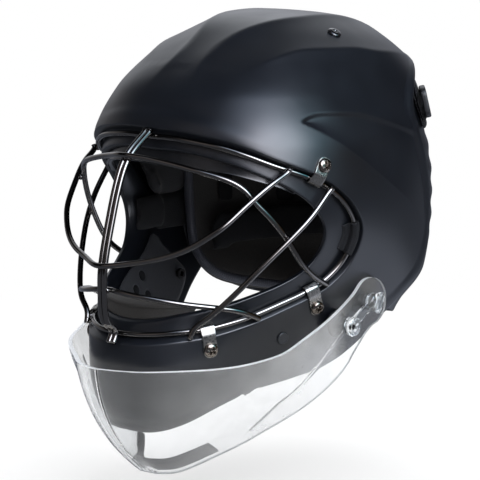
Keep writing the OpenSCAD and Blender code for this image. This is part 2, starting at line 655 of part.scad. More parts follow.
// Rounded patch on the shell's surface, as a closed solid with n columns round it and rings from
// the middle out. spot is [azimuth, elevation, half width, half height] in degrees, outer(d) its
// outer face, and its inner face comes nearer to that by the share rise at the edge
// Share of the outer face's size that the inner face has
patch_draft = 0.97;
small_rings = [0.6, 1];
pad_rings = [0.5, 0.85, 1];
liner_rings = [0.22, 0.44, 0.64, 0.83, 0.94];
wide_rings = concat(liner_rings, [1]);
module patch(spot, thick, power, rise, outer, rings = pad_rings, n = 28) {
    at = function (t, k) let (phi = k * 360 / n, c = corner(phi, power))
        around_spot(spot[0], spot[1], spot[2] * t * cos(phi) * c, spot[3] * t * sin(phi) * c);
    last = len(rings) - 1;
    top = [for (t = rings) [for (k = [0 : n - 1]) let (d = at(t, k)) surf(d, outer(d))]];
    low = [for (j = [last : -1 : 0]) [for (k = [0 : n - 1])
        let (d = at(rings[j] * (j == last ? patch_draft : 1), k))
        surf(d, outer(d) - thick * (1 - rise * pow(rings[j], 6)))]];
    c0 = surf(at(0, 0), outer(at(0, 0)));
    c1 = surf(at(0, 0), outer(at(0, 0)) - thick);
    rows = concat(top, low);
    m = len(rows);
    polyhedron(points = concat([for (r = rows) for (p = r) p], [c0, c1]), faces = concat(
        [for (j = [0 : m - 2], k = [0 : n - 1], f = [0, 1]) let (a = j * n + k, b = j * n + (k + 1) % n,
            c = (j + 1) * n + (k + 1) % n, d = (j + 1) * n + k)
            j < last ? (f == 0 ? [a, b, c] : [a, c, d]) : (f == 0 ? [a, b, d] : [b, c, d])],
        [for (k = [0 : n - 1]) [m * n, (k + 1) % n, k]],
        [for (k = [0 : n - 1]) [m * n + 1, (m - 1) * n + k, (m - 1) * n + (k + 1) % n]]), convexity = 6);
}

// Back plate, its liner, the nape pad and its straps
plate_spot = [180, 3, 76, 45];
nape_spot = [180, -20, 66, 10];
nape_t = 8;
module back_plate() {
    color([0.13, 0.14, 0.16]) patch(plate_spot, plate_t, 5, 0.2, function (d) plate_out(d), wide_rings, 48);
}
liner_out = function (d) plate_out(d) - plate_t - pad_gap;
nape_gap = 3.5;
nape_out = function (d) liner_out(d) - plate_liner_t - nape_gap;
module back_liner() {
    color("dimgray") patch(plate_spot, plate_liner_t, 5, 0.25, liner_out, liner_rings, 48);
}
module nape_pad() {
    color("black") patch(nape_spot, nape_t, 6, 0.35, nape_out, [0.25, 0.5, 0.75, 1], 36);
}
// Azimuth of each strap and its gap to the liner's curved face
nape_strap_spots = [[125, 0.4], [150, 2.3], [210, 2.3], [235, 0.4]];
module nape_straps() {
    color("black") for (spot = nape_strap_spots) patch([spot[0], 3, 4, 12], 1.6, 8, 0.1,
        function (d) liner_out(d) - plate_liner_t - spot[1], small_rings, 20);
}

// Padding: depth of a pad's outer face, which clears the back of the cage's seat
face_centre = dir(0, -5);
function angle_to(a, b) = acos(max(-1, min(1, a * b)));
function seat_angle(d) = let (g = [for (e = seat_dirs) e * d], m = max(g))
    [for (i = [0 : stations - 1]) if (g[i] == m) angle_to(seat_dirs[i], face_centre)][0];
pad_out = function (d) let (beyond = (angle_to(d, face_centre) - seat_angle(d)) * PI / 180 * half_width)
    -wall - pad_gap - flat_room - seat_depth * (1 - ease((beyond - wall - 2) / 4));
cheek_spot = [77, -34, 13.5, 13];
ear_spot = [88, -12, 9, 5.5];
temple_spot = [90, 9, 10, 12];
crown_front_spot = [0, 53, 35, 10.5];
crown_middle_spot = [0, 90, 19, 22];
// Pockets in the cheek pad for the boss, the plug and the nut behind it, and the holes through it
pocket_gap = 1;
plug_room = wall + 2 * flat_room + 2;
nut_room = wall + flat_room + nut_h + pocket_gap;
cheek_holes = [[77, -29], [72.5, -33]];
rear_spot = clip_spot("rear");
module cheek_pad() {
    color("dimgray") difference() {
        patch(cheek_spot, cheek_pad_t, 5, 0.35, pad_out);
        for (h = cheek_holes) on_surface(h[0], h[1])
            cylinder(d = pad_hole_d, h = 6 * cheek_pad_t, center = true, $fn = 32);
        at_side(clamp, 1, nut_x - 2 * cheek_pad_t)
            cylinder(r = boss_r + pocket_gap, h = 4 * cheek_pad_t, $fn = 40);
        on_surface(plug_spot[0], plug_spot[1])
            cylinder(r = plug_d / 2 + pocket_gap, h = 2 * plug_room, center = true, $fn = 32);
        on_surface(rear_spot[1], rear_spot[2])
            cylinder(r = nut_r + pocket_gap, h = 2 * nut_room, center = true, $fn = 32);
    }
}
// Distance that the side pads lie nearer to the wall than the other pads
side_seat = 1.05;
ear_pad_t = 12;
module ear_pad() {
    color("black") patch(ear_spot, ear_pad_t, 5, 0.4, function (d) pad_out(d) + side_seat);
}
temple_pad_t = 12;
module temple_pad() {
    color("gray") patch(temple_spot, temple_pad_t, 4, 0.4, function (d) pad_out(d) + side_seat);
}
module crown_pad(spot) {
    color("dimgray") patch(spot, crown_pad_t, 3.5, 0.4, pad_out, [0.33, 0.66, 0.88, 1], 32);
}
// Pads that run along the hole in the seat: stations either side of station mid, widest in the middle
module hole_pad(mid, reach, behind, show, thick) {
    cols = [for (k = [-reach : reach]) k];
    grid = function (deep) [for (r = [0 : 3]) [for (k = cols) let (i = (mid + k + stations) % stations,
            u = k / (reach + 1), full = 1 - u * u,
            mm = mix(-behind, show * full, r / 3),
            t = 1 + mm / run(seat_dirs[i], hole_dirs[i]),
            d = slerp(seat_dirs[i], hole_dirs[i], t),
            bulge = (r == 0 || r == 3) ? 0.45 : 1)
        surf(d, -seat_depth - wall - pad_gap - (deep ? thick * bulge * (0.35 + 0.65 * full) : 0))]];
    slab(grid(true), grid(false));
}
top_station = stations / 2;
module brow_pad() {
    color([0.2, 0.2, 0.22]) hole_pad(top_station, 13, 4, 11, brow_pad_t);
}
module chin_pad() {
    color([0.1, 0.1, 0.12]) hole_pad(0, 8, 3, 7, chin_pad_t);
}

// Webbing from the shell's rear edge down to the back plate, with its buckle
webbing_spot = [143, 32, 5, 11];
webbing_t = 1.6;
webbing_lift = 0.6;
buckle_az = 141;
buckle_el = 29;
buckle_w = 27;
buckle_l = 22;
buckle_h = 5.5;
// The buckle stands clear of the webbing's curve, and its two bars leave two slots
buckle_lift = 3.4;
buckle_round = 3;
slot_x = 4.5;
slot_w = 2.4;
slot_ends = 9;
module rear_webbing() {
    color("black") patch(webbing_spot, webbing_t, 8, 0.05,
        function (d) plate_out(d) + webbing_lift + webbing_t, pad_rings, 20);
}
module rear_buckle() {
    n = dir(buckle_az, buckle_el);
    lift = plate_out(n) + webbing_lift + webbing_t + buckle_lift;
    color("black") on_surface(buckle_az, buckle_el, lift) linear_extrude(buckle_h) difference() {
        offset(r = buckle_round, $fn = 32)
            square([buckle_l, buckle_w] - [2, 2] * buckle_round, center = true);
        for (x = [-slot_x, slot_x]) translate([x, 0]) square([slot_w, buckle_w - slot_ends], center = true);
    }
}

shell();
color("black") cap(rivet_spot, rivet_d);  // crown_rivet_left
color("black") mirror([1, 0, 0]) cap(rivet_spot, rivet_d);  // crown_rivet_right
color("black") cap(plug_spot, plug_d);  // jaw_plug_left
color("black") mirror([1, 0, 0]) cap(plug_spot, plug_d);  // jaw_plug_right
cage_rim();
cage_middle_bars();
across_wire(brow_line, brow_end);  // cage_brow_bar
across_wire(eye_line, eye_end);  // cage_eye_loop
across_wire(mouth_line, mouth_end);  // cage_mouth_bar
cross_bar();  // cage_cross_bar_left
mirror([1, 0, 0]) cross_bar();  // cage_cross_bar_right
clip("upper");  // clip_upper_left
clip_screw("upper");  // screw_upper_left
mirror([1, 0, 0]) clip("upper");  // clip_upper_right
mirror([1, 0, 0]) clip_screw("upper");  // screw_upper_right
clip("rear");  // clip_rear_left
clip_screw("rear");  // screw_rear_left
mirror([1, 0, 0]) clip("rear");  // clip_rear_right
mirror([1, 0, 0]) clip_screw("rear");  // screw_rear_right
clip("front");  // clip_front_left
clip_screw("front");  // screw_front_left
mirror([1, 0, 0]) clip("front");  // clip_front_right
mirror([1, 0, 0]) clip_screw("front");  // screw_front_right
clip_nuts();  // clip_nuts_left
rim_loop();  // rim_loop_left
guard_link(1);  // guard_link_left
pivot_screw(1);  // pivot_screw_left
clamp_screw(1);  // clamp_screw_left
guard_nuts(1);  // guard_nuts_left
rear_webbing();  // rear_webbing_left
rear_buckle();  // rear_buckle_left
temple_pad();  // temple_pad_left
ear_pad();  // ear_pad_left
cheek_pad();  // cheek_pad_left
mirror([1, 0, 0]) clip_nuts();  // clip_nuts_right
mirror([1, 0, 0]) rim_loop();  // rim_loop_right
guard_link(-1);  // guard_link_right
pivot_screw(-1);  // pivot_screw_right
clamp_screw(-1);  // clamp_screw_right
guard_nuts(-1);  // guard_nuts_right
mirror([1, 0, 0]) rear_webbing();  // rear_webbing_right
mirror([1, 0, 0]) rear_buckle();  // rear_buckle_right
mirror([1, 0, 0]) temple_pad();  // temple_pad_right
mirror([1, 0, 0]) ear_pad();  // ear_pad_right
mirror([1, 0, 0]) cheek_pad();  // cheek_pad_right
throat_guard();
guard_strip();
back_plate();
back_liner();
nape_pad();
nape_straps();
crown_pad(crown_front_spot);  // crown_pad_front
crown_pad(crown_middle_spot);  // crown_pad_middle
brow_pad();
chin_pad();
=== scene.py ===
# %% [markdown]
# # A hockey goalkeeper's helmet
# The helmet is a hard shell with a wire face cage, a clear throat guard that swings at the jaw, and a
# padded back plate hung on webbing behind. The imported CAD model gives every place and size. The cells
# below add pieces and finishes on top of it, and can be run and looked at one by one.

# %% The frame
import bmesh
import bpy
import math
import numpy as np
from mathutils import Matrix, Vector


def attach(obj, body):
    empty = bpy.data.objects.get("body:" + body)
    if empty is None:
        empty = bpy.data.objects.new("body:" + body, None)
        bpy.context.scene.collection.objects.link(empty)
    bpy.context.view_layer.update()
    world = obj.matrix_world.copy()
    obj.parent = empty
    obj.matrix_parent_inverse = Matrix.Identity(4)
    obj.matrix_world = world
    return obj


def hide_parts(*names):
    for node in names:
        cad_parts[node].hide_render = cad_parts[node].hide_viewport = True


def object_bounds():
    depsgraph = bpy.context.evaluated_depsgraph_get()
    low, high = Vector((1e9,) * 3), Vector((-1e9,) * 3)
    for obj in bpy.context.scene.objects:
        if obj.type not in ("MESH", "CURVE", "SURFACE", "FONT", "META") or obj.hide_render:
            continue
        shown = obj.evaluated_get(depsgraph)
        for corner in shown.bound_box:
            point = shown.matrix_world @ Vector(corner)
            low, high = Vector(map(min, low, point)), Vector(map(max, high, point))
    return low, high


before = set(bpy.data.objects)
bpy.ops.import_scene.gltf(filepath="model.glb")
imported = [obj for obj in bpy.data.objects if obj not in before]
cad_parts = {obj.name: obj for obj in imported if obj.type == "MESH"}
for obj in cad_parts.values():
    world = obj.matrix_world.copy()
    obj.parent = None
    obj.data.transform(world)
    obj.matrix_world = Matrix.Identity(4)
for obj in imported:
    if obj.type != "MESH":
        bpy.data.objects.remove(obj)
cad_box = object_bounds()
print("the CAD box in millimetres:", [[round(v * 1000, 1) for v in corner] for corner in cad_box])

# %% [markdown]
# ## The camera
# The picture was taken from the wearer's left, a little above the helmet, from about three metres. A
# camera is easiest to place from an azimuth and an elevation round the middle of the head. Moving it
# sideways in its own plane frames the helmet without turning it, as a photographer slides a tripod.

# %% The camera
MM = 0.001
TURN, RISE = math.radians(42.5), math.radians(8.7)
DISTANCE, LEFT_SHIFT, DOWN_SHIFT = 3.0, 0.01314, 0.03214
right = np.array([math.cos(TURN), math.sin(TURN), 0.0])
back = np.array([math.sin(TURN) * math.cos(RISE), -math.cos(TURN) * math.cos(RISE), math.sin(RISE)])
up = np.cross(back, right)
scene = bpy.context.scene
camera = bpy.data.objects.new("camera", bpy.data.cameras.new("camera"))
camera.data.lens = 315
camera.data.sensor_width = 36
camera.data.clip_end = 60
scene.collection.objects.link(camera)
camera.location = back * DISTANCE - right * LEFT_SHIFT - up * DOWN_SHIFT
camera.rotation_euler = (math.pi / 2 - RISE, 0, TURN)
scene.camera = camera
print("the camera stands at", [round(v, 3) for v in camera.location])

# %% [markdown]
# ## A surface for the shell
# A helmet shell is close to an ellipsoid, squarer at the temples, narrower at the jaw and pushed
# forward at the chin. One formula for its distance from the middle of the head gives every point of
# it. The same formula, grown or shrunk by a few millimetres, carries the cage, the pads and the back
# plate, so that all of them follow the shell without any fitting. Lengths are in millimetres until a
# mesh is made.

# %% The shell's formula
HALF_WIDTH, TO_FRONT, TO_BACK, TO_CHIN, TO_CROWN = 111.0, 122.0, 130.0, 190.0, 134.0
SQUARENESS = 2.3


def ease(t):
    """A smooth step from 0 to 1: 3u^2 - 2u^3, with u held between 0 and 1."""
    u = np.clip(t, 0, 1)
    return u * u * (3 - 2 * u)


def unit(v):
    """Vectors divided by their lengths."""
    return v / np.maximum(np.linalg.norm(v, axis=-1, keepdims=True), 1e-12)


def direction(az, el):
    """Unit vector of an azimuth from -Y towards +X and an elevation, in degrees."""
    a, e = np.radians(az), np.radians(el)
    return np.stack(np.broadcast_arrays(np.sin(a) * np.cos(e), -np.cos(a) * np.cos(e), np.sin(e)), -1)


def lean(q):
    """The jaw's width falls by 38 % going down and forward, the chin goes 51 mm forward and the crown
    18 mm back. Each is a smooth step along Z times one along Y."""
    x, y, z = q[..., 0], q[..., 1], q[..., 2]
    taper = 0.38 * ease((10 - z) / 110) * np.clip((70 - y) / 190, 0, 1) ** 0.8
    push = 51 * ease((20 - z) / 170) * ease((60 - y) / 160)
    start = 80 - 20 * ease((y + 40) / 100)
    return np.stack([x * (1 - taper), y - push + 18 * ease((z - start) / 40), z], -1)


def surf(d, out=0.0):
    """Point of the shell's surface in the direction d, moved out by out: the radius is
    (|x/a|^s + |y/b|^s + |z/c|^s)^(-1/s), where s is the squareness, then the lean is added."""
    n = unit(np.asarray(d, float))
    reach = np.stack([np.full(n.shape[:-1], HALF_WIDTH), np.where(n[..., 1] < 0, TO_FRONT, TO_BACK),
                      np.where(n[..., 2] < 0, TO_CHIN, TO_CROWN)], -1)
    radius = ((np.abs(n) / reach) ** SQUARENESS).sum(-1) ** (-1 / SQUARENESS)
    return lean(n * (radius + out)[..., None])


def normal(d):
    """Outward normal of the surface in the direction d, from the cross product of two small steps."""
    n = unit(np.asarray(d, float))
    side = unit(np.stack([-n[..., 1], n[..., 0], np.zeros(n.shape[:-1])], -1) + 1e-9)
    rise = np.cross(n, side)
    step = 0.004
    sideways = surf(n + side * step) - surf(n - side * step)
    upwards = surf(n + rise * step) - surf(n - rise * step)
    return unit(np.cross(sideways, upwards))


print("the shell's point at the temple:", surf(direction(90, 0)).round(1))

# %% [markdown]
# ## Smooth lines through a few points
# The edge of the face opening, the lower edge of the shell and every wire are each given by a short
# list of points. A Catmull-Rom curve passes through all of them and has no corners, and numpy works
# out all of its points at once.

# %% Curves
X, Z = np.array([1.0, 0.0, 0.0]), np.array([0.0, 0.0, 1.0])
MIRROR = np.array([-1.0, 1.0, 1.0])
SIDES = (("left", np.ones(3)), ("right", MIRROR))


def catmull(p, steps, closed=False):
    """Points of the curve through p: on the span from b to c, with neighbours a and d, the point is
    (2b + (c-a)t + (2a-5b+4c-d)t^2 + (3b-a-3c+d)t^3) / 2."""
    p = np.asarray(p, float)
    ends = [p[-1:], p, p[:2]] if closed else [p[:1], p, p[-1:]]
    q = np.concatenate(ends)
    a, b, c, d = q[:-3, None], q[1:-2, None], q[2:-1, None], q[3:, None]
    t = (np.arange(steps) / steps)[None, :, None]
    line = 2 * b + (c - a) * t + (2 * a - 5 * b + 4 * c - d) * t ** 2 + (3 * b - a - 3 * c + d) * t ** 3
    line = line.reshape(-1, p.shape[1]) / 2
    return line if closed else np.concatenate([line, p[-1:]])


def slerp(a, b, t):
    """Direction the share t of the way round from a to b."""
    w = np.arccos(np.clip((a * b).sum(-1, keepdims=True), -1, 1))
    t = np.asarray(t, float)[..., None] if np.ndim(t) else t
    return unit((np.sin((1 - t) * w) * a + np.sin(t * w) * b) / np.maximum(np.sin(w), 1e-9))


def run_of(line):
    """How far along a line each of its points is: the sum of the steps before it."""
    return np.concatenate([[0], np.cumsum(np.linalg.norm(np.diff(line, axis=0), axis=-1))])


def running_mean(line, reach):
    """A line with its corners rounded: each point becomes the mean of the reach points round it, three
    times over, with the end points repeated."""
    for _ in range(3):
        first, last = (np.repeat(line[k:k + 1], reach // 2, 0) for k in (0, len(line) - 1))
        padded = np.concatenate([first, line, last])
        line = np.stack([np.convolve(column, np.ones(reach) / reach, "valid") for column in padded.T], -1)
    return line


def arc(first, last, count):
    """Sines and cosines of count angles from first to last, in degrees."""
    a = np.radians(np.linspace(first, last, count))
    return zip(np.sin(a), np.cos(a))


print("a curve of 3 points in 4 steps has", len(catmull([[0, 0], [1, 1], [2, 0]], 4)), "points")

# %% [markdown]
# ## Meshes
# A mesh is a grid of points with a face in each square of it. Faces could be added one at a time, but
# their corners follow from the rows and columns alone, so one formula numbers them all. The points go
# into the mesh in metres, and the object stays at the origin.

# %% Grids and meshes
def grid_faces(rows, cols, round_rows=False, round_cols=False):
    """Four corners for each square of a grid of points, closed on itself where round_ is true."""
    r = np.arange(rows if round_rows else rows - 1)[:, None]
    c = np.arange(cols if round_cols else cols - 1)[None, :]
    r2, c2 = (r + 1) % rows, (c + 1) % cols
    return np.stack([r * cols + c, r * cols + c2, r2 * cols + c2, r2 * cols + c], -1).reshape(-1, 4)


def make_piece(name, points, faces, threads=None):
    """An object at the origin from points in millimetres and faces, smooth shaded. Points that fall
    together, as at a pole, are merged, and all faces are turned outwards. threads gives each point its
    millimetres along and across the cloth."""
    points = np.asarray(points, float).reshape(-1, 3)
    mesh = bpy.data.meshes.new(name)
    mesh.from_pydata((points * MM).tolist(), [], faces.tolist() if isinstance(faces, np.ndarray) else faces)
    mesh.polygons.foreach_set("use_smooth", np.ones(len(mesh.polygons), bool))
    if threads is not None:
        corners = np.zeros(len(mesh.loops), np.int32)
        mesh.loops.foreach_get("vertex_index", corners)
        uv = np.asarray(threads, float).reshape(-1, 2)[corners] * MM
        mesh.uv_layers.new(name="threads").data.foreach_set("uv", uv.ravel())
    work = bmesh.new()
    work.from_mesh(mesh)
    bmesh.ops.remove_doubles(work, verts=work.verts, dist=1e-6)
    bmesh.ops.recalc_face_normals(work, faces=work.faces)
    work.to_mesh(mesh)
    work.free()
    piece = bpy.data.objects.new(name, mesh)
    scene.collection.objects.link(piece)
    return piece


def join_grids(parts):
    """Points and faces of several meshes as one, each part's numbers moved past the last one's."""
    points, faces, start = [], [], 0
    for p, f in parts:
        points.append(np.asarray(p, float).reshape(-1, 3))
        if isinstance(f, np.ndarray):
            f = f.tolist()
        faces += [[corner + start for corner in face] for face in f]
        start += len(points[-1])
    return np.concatenate(points), faces


def end_points(grid):
    """The grid with one more row at each end, gathered in the middle of the end's row, to close it."""
    first, last = (grid[k:k + 1] * 0 + grid[k].mean(0) for k in (0, len(grid) - 1))
    return np.concatenate([first, grid, last])


print("a grid of 3 by 4 points has", len(grid_faces(3, 4)), "faces")

# %% [markdown]
# ## Finishes
# A finish is a small tree of nodes that ends in one Principled shader. Colours are picked as sRGB hex
# values, as in a paint program, and one function turns them to the linear numbers that the renderer
# needs. One more function adds any node with its settings and links, which keeps each tree short. A
# pattern then steers a shader in up to three ways: by colour, by roughness and by height.

# %% Helpers for finishes
def linear(code):
    """sRGB hex to linear red, green, blue and 1: c/12.92 below 0.04045, else ((c + 0.055)/1.055)^2.4."""
    c = np.array([int(code[i:i + 2], 16) / 255 for i in (1, 3, 5)])
    return (*np.where(c < 0.04045, c / 12.92, ((c + 0.055) / 1.055) ** 2.4).tolist(), 1.0)


def node(tree, kind, inputs=None, **settings):
    """Adds a node of that kind. Settings are its own options. Each input is a value, or a socket of
    another node, which is linked to it."""
    made = tree.nodes.new("ShaderNode" + kind)
    for key, value in settings.items():
        setattr(made, key, value)
    for key, value in (inputs or {}).items():
        if isinstance(value, bpy.types.NodeSocket):
            tree.links.new(value, made.inputs[key])
        else:
            made.inputs[key].default_value = value
    return made


def finish_named(name, colour, **sockets):
    """A new material with a plain Principled shader of that colour, its tree and its shader. A socket's
    name is written with _ for a space."""
    material = bpy.data.materials.new(name)
    material.use_nodes = True
    tree = material.node_tree
    shader = tree.nodes["Principled BSDF"]
    shader.inputs["Base Color"].default_value = linear(colour)
    for key, value in sockets.items():
        shader.inputs[key.replace("_", " ")].default_value = value
    return material, tree, shader


def steer(tree, shader, pattern, colours=None, rough=None, bump=None):
    """Lets a pattern steer a shader. The colour goes from the first hex value to the second as the
    pattern goes from 0 to 1. rough is two values of the pattern and the roughness at each. bump is a
    strength and a height in millimetres."""
    if colours:
        tone = node(tree, "Mix", {0: pattern, 6: linear(colours[0]), 7: linear(colours[1])}, data_type="RGBA")
        tree.links.new(tone.outputs[2], shader.inputs["Base Color"])
    if rough:
        spread = node(tree, "MapRange", {"Value": pattern, "From Min": rough[0], "From Max": rough[1],
                                         "To Min": rough[2], "To Max": rough[3]})
        tree.links.new(spread.outputs["Result"], shader.inputs["Roughness"])
    if bump:
        raised = node(tree, "Bump", {"Height": pattern, "Strength": bump[0], "Distance": bump[1] * MM})
        tree.links.new(raised.outputs["Normal"], shader.inputs["Normal"])


print("mid grey #808080 is", round(linear("#808080")[0], 3), "in linear light")

# %% [markdown]
# ## Dressing a piece
# Every piece gets a finish, the body that it moves with and the CAD nodes that it stands for, which are
# hidden. Most small pieces come in pairs. The right one is the left one with its X turned round, so
# that the two can't drift apart.

# %% Dressed pieces and pairs
def dress(piece, material, nodes=(), body="helmet"):
    """Gives a piece its material and body, and hides the CAD nodes that it stands for."""
    piece.data.materials.clear()
    piece.data.materials.append(material)
    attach(piece, body)
    if nodes:
        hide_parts(*nodes)
    return piece


def make_pair(stem, form, points, faces, material, slot, threads=None, body="helmet", fill=None, stands=True):
    """A piece for the left and its mirror image for the right, which stand for the nodes stem_left and
    stem_right unless stands is false."""
    made = []
    for side, flip in SIDES:
        piece = make_piece(f"{stem}_{side}_{form}", points * flip, faces, threads)
        nodes = [f"{stem}_{side}"] if stands else ()
        made.append(dress(piece, material, nodes, body))
    return made


# %% [markdown]
# ## Soft-touch moulded plastic
# The shell is injection-moulded ABS with a matt black, faintly blue soft-touch coat. Such a coat
# scatters light over a wide angle, so a lamp shows as a broad glow and not as a spot. It has a very
# fine grain, about 0.4 mm across, and handling leaves it a little smoother in cloudy patches some
# centimetres wide. Noise on object coordinates gives both, at sizes worked out in metres.

# %% Soft-touch ABS
def soft_touch(name, dark, light, rough):
    """Matt coat: the colour wanders between dark and light and the roughness by 0.06 over 30 mm
    clouds, and a bump of 0.4 mm grain breaks up the highlight."""
    material, tree, shader = finish_named(name, dark, Roughness=rough, Specular_IOR_Level=0.5, IOR=1.53,
                                          Coat_Weight=0.0)
    place = node(tree, "TexCoord").outputs["Object"]
    cloud = node(tree, "TexNoise", {"Vector": place, "Scale": 1 / (30 * MM), "Detail": 3.0}).outputs["Fac"]
    grain = node(tree, "TexNoise", {"Vector": place, "Scale": 1 / (0.4 * MM), "Detail": 2.0}).outputs["Fac"]
    steer(tree, shader, cloud, colours=(dark, light), rough=(0.3, 0.7, rough - 0.03, rough + 0.03))
    steer(tree, shader, grain, bump=(0.12, 0.1))
    return material


shell_coat = soft_touch("soft_touch_abs_black", "#0d0f14", "#11141a", 0.34)
print("made", shell_coat.name)

# %% [markdown]
# ## The edges of the shell
# Three closed lines go round the face: the edge of the seat that the cage lies in, the edge of the
# hole inside that seat, and the lower and rear edge of the shell. They are lists of azimuth and
# elevation for the left half, mirrored for the right half, with twelve steps from each listed point
# to the next. Every ring of the shell's mesh lies a share of the way from one of these lines to the
# next.

# %% Edges round the face
seat_edge = [[0, -38], [17, -37.5], [33, -36.5], [47, -35.5], [58, -33.5], [66, -31], [73, -28.5],
             [79, -25.5], [83.5, -20], [85.5, -13], [85, -6], [81, 0.5], [74, 7.5], [64, 13.5], [50, 18.5],
             [40, 22], [31, 24.5], [22, 26], [11, 27.3], [0, 27.5]]
hole_edge = [[0, -34.5], [16, -33.5], [30, -31.5], [41, -30], [50, -28], [57, -26], [62.5, -24], [67.5, -21],
             [70.5, -16.5], [71.5, -11], [70, -5], [66, 0.5], [60, 6], [52.5, 10.5], [43, 14.5], [35, 17.5],
             [27.5, 19.5], [20, 21], [10, 22], [0, 22]]
shell_edge = [[0, -61], [20, -60.5], [38, -58], [52, -54.5], [64, -52], [76, -51], [87, -49.5], [96, -45.5],
              [106, -37], [115, -29.5], [123, -22], [127, -12], [128, 0], [125, 14], [123, 27], [127, 36],
              [136, 41], [150, 43], [165, 44], [180, 44.5]]
SPAN = 12


def around(half):
    """Closed ring of directions through a list for the left half and its mirror image."""
    left = direction(*np.array(half, float).T)
    return unit(catmull(np.concatenate([left, left[-2:0:-1] * MIRROR]), SPAN, closed=True))


def length_between(a, b):
    """Millimetres along the surface between two directions: the angle times the radius half way."""
    angle = np.arccos(np.clip((a * b).sum(-1), -1, 1))
    return angle * np.linalg.norm(surf(unit(a + b)), axis=-1)


seat_ring, hole_ring, rear_ring = around(seat_edge), around(hole_edge), around(shell_edge)
to_rear, to_hole = length_between(seat_ring, rear_ring), length_between(seat_ring, hole_ring)


def off_seat(mm):
    """Ring of directions mm outside the seat's edge, or inside it where mm is negative."""
    if mm < 0:
        return slerp(seat_ring, hole_ring, -mm / to_hole)
    return slerp(seat_ring, rear_ring, mm / to_rear)


def off_hole(mm):
    """Ring of directions mm outside the hole's edge, towards the seat."""
    return slerp(hole_ring, seat_ring, mm / to_hole)


def off_rear(mm):
    """Ring of directions mm in front of the shell's lower and rear edge."""
    return slerp(rear_ring, seat_ring, mm / to_rear)


print("each ring has", len(seat_ring), "points, and the crown is", round(float(to_rear.max())), "mm long")

# %% [markdown]
# ## Creases in the shell
# The real shell is not plain: it looks like broad blades that overlap. A long ridge runs back on each
# side of the crown, a second one below it, and a scoop with a pointed start lies above the ear. They
# could be cut by hand, but a formula is steadier. For every point it measures the distance to a line
# drawn on the surface. The surface stays where it is on the ridges and sinks between them, so nothing
# sticks out of the CAD outline.

# %% Lines of the ridges and the scoop
def on_shell(pairs):
    """A smooth line on the surface through pairs of azimuth and elevation, in millimetres."""
    return surf(catmull(direction(*np.array(pairs, float).T), 6))


upper_ridge = on_shell([[13, 33], [11.5, 38], [11, 43], [9.5, 50], [11, 57], [18.5, 64], [32, 69.6], [68, 75],
                        [110, 75], [135, 70], [150, 60], [158, 52]])
lower_ridge = on_shell([[30, 43], [33, 46.5], [37.6, 50], [46, 53], [58, 56], [76, 57], [94, 56.6], [112, 53],
                        [137, 46.5], [150, 41], [158, 36]])
ridges = [(upper_ridge, 14.0, 60.0), (lower_ridge, 6.0, 52.0)]
scoop_top = on_shell([[58, 32], [65, 34.6], [76, 35], [89, 34], [102, 30], [120, 23], [130, 19], [140, 15]])
scoop_low = on_shell([[58, 32], [65, 29], [80, 21], [97, 10], [115, -2], [122, -7], [130, -12], [138, -17]])
print("the crown's ridge is", round(run_of(upper_ridge)[-1]), "mm long")

# %% [markdown]
# ## Relief
# A ridge is sharp on its line and falls off to both sides, as where one blade laps over the next. The
# exponential of the distance has that form. The scoop is a ramp between its two lines: it starts at
# the lower one, where it turns away from the light, and ends in a step at the upper one.

# %% Relief of the ridges and the scoop
CROWN_SINK, RIDGE_HEIGHT, RIDGE_ABOVE, RIDGE_BELOW, SCOOP_DEPTH = 0.7, 3.3, 15, 11, 2.4


def distance_to(line, p):
    """For each point of p, the distance to the nearest segment of the line, positive on its upper side,
    and how far along the line that is. The share of a segment is the dot product over its length squared."""
    best, sign, at = np.full(len(p), 1e9), np.ones(len(p)), np.zeros(len(p))
    done = 0.0
    for a, b in zip(line[:-1], line[1:]):
        v = b - a
        size = float(np.linalg.norm(v))
        t = np.clip((p - a) @ v / size ** 2, 0, 1)
        offset = p - a - t[:, None] * v
        gap = np.linalg.norm(offset, axis=-1)
        above = np.cross(a, v)
        above = above if above[2] > 0 else -above
        nearer = gap < best
        best, at = np.where(nearer, gap, best), np.where(nearer, done + t * size, at)
        sign = np.where(nearer, np.where(offset @ above < 0, -1, 1), sign)
        done += size
    return best * sign, at


def relief_of(p):
    """Millimetres that the surface rises at p, on the left half. Away from the ridges it sinks by the
    crown's sink and the ridges' height. A ridge takes exp(-s/L) of its height back at the distance s,
    where L is longer above it than below, and fades in between two distances along its line. At the
    share t of the way up the scoop is (1 - (1 - t)^2.5)(1 - t^2 / 2) of its depth deep."""
    q = p.reshape(-1, 3)
    ridge = np.zeros(len(q))
    for line, start, full in ridges:
        for points in (q, q * MIRROR):
            s, at = distance_to(line, points)
            gap = np.sqrt(s ** 2 + 0.8 ** 2) - 0.8
            falloff = np.exp(-gap / np.where(s > 0, RIDGE_ABOVE, RIDGE_BELOW))
            ridge += falloff * ease((at - start) / (full - start))
    crown = ease((q[:, 2] - 46) / 46)
    front = 1 - 0.6 * ease((q[:, 1] - 40) / 55)
    sink = crown * front * (CROWN_SINK + RIDGE_HEIGHT * np.clip(1 - ridge, -0.1, 1))
    top, at = distance_to(scoop_top, q)
    low, _ = distance_to(scoop_low, q)
    ramp = np.clip(low, 0, None) / np.maximum(np.abs(top) + np.abs(low), 0.5)
    across_scoop = (1 - (1 - ramp) ** 2.5) * (1 - ramp ** 2 / 2)
    scoop = SCOOP_DEPTH * ease((0.8 - top) / 3.5) * across_scoop * ease(at / 5)
    return (-sink - scoop).reshape(p.shape[:-1])


temple = surf(direction(90, 25))
print("above the ear the shell sinks by", round(-float(relief_of(temple[None])[0]), 1), "mm")

# %% [markdown]
# ## The rings of the shell
# The shell is one closed surface: from the hole over the floor of the seat, up its side wall, over the
# outside to the rear edge, round that edge and back inside. Each ring is a direction and a depth, and
# its corners are rounded by a few rings on an arc, as a mould needs them to be.

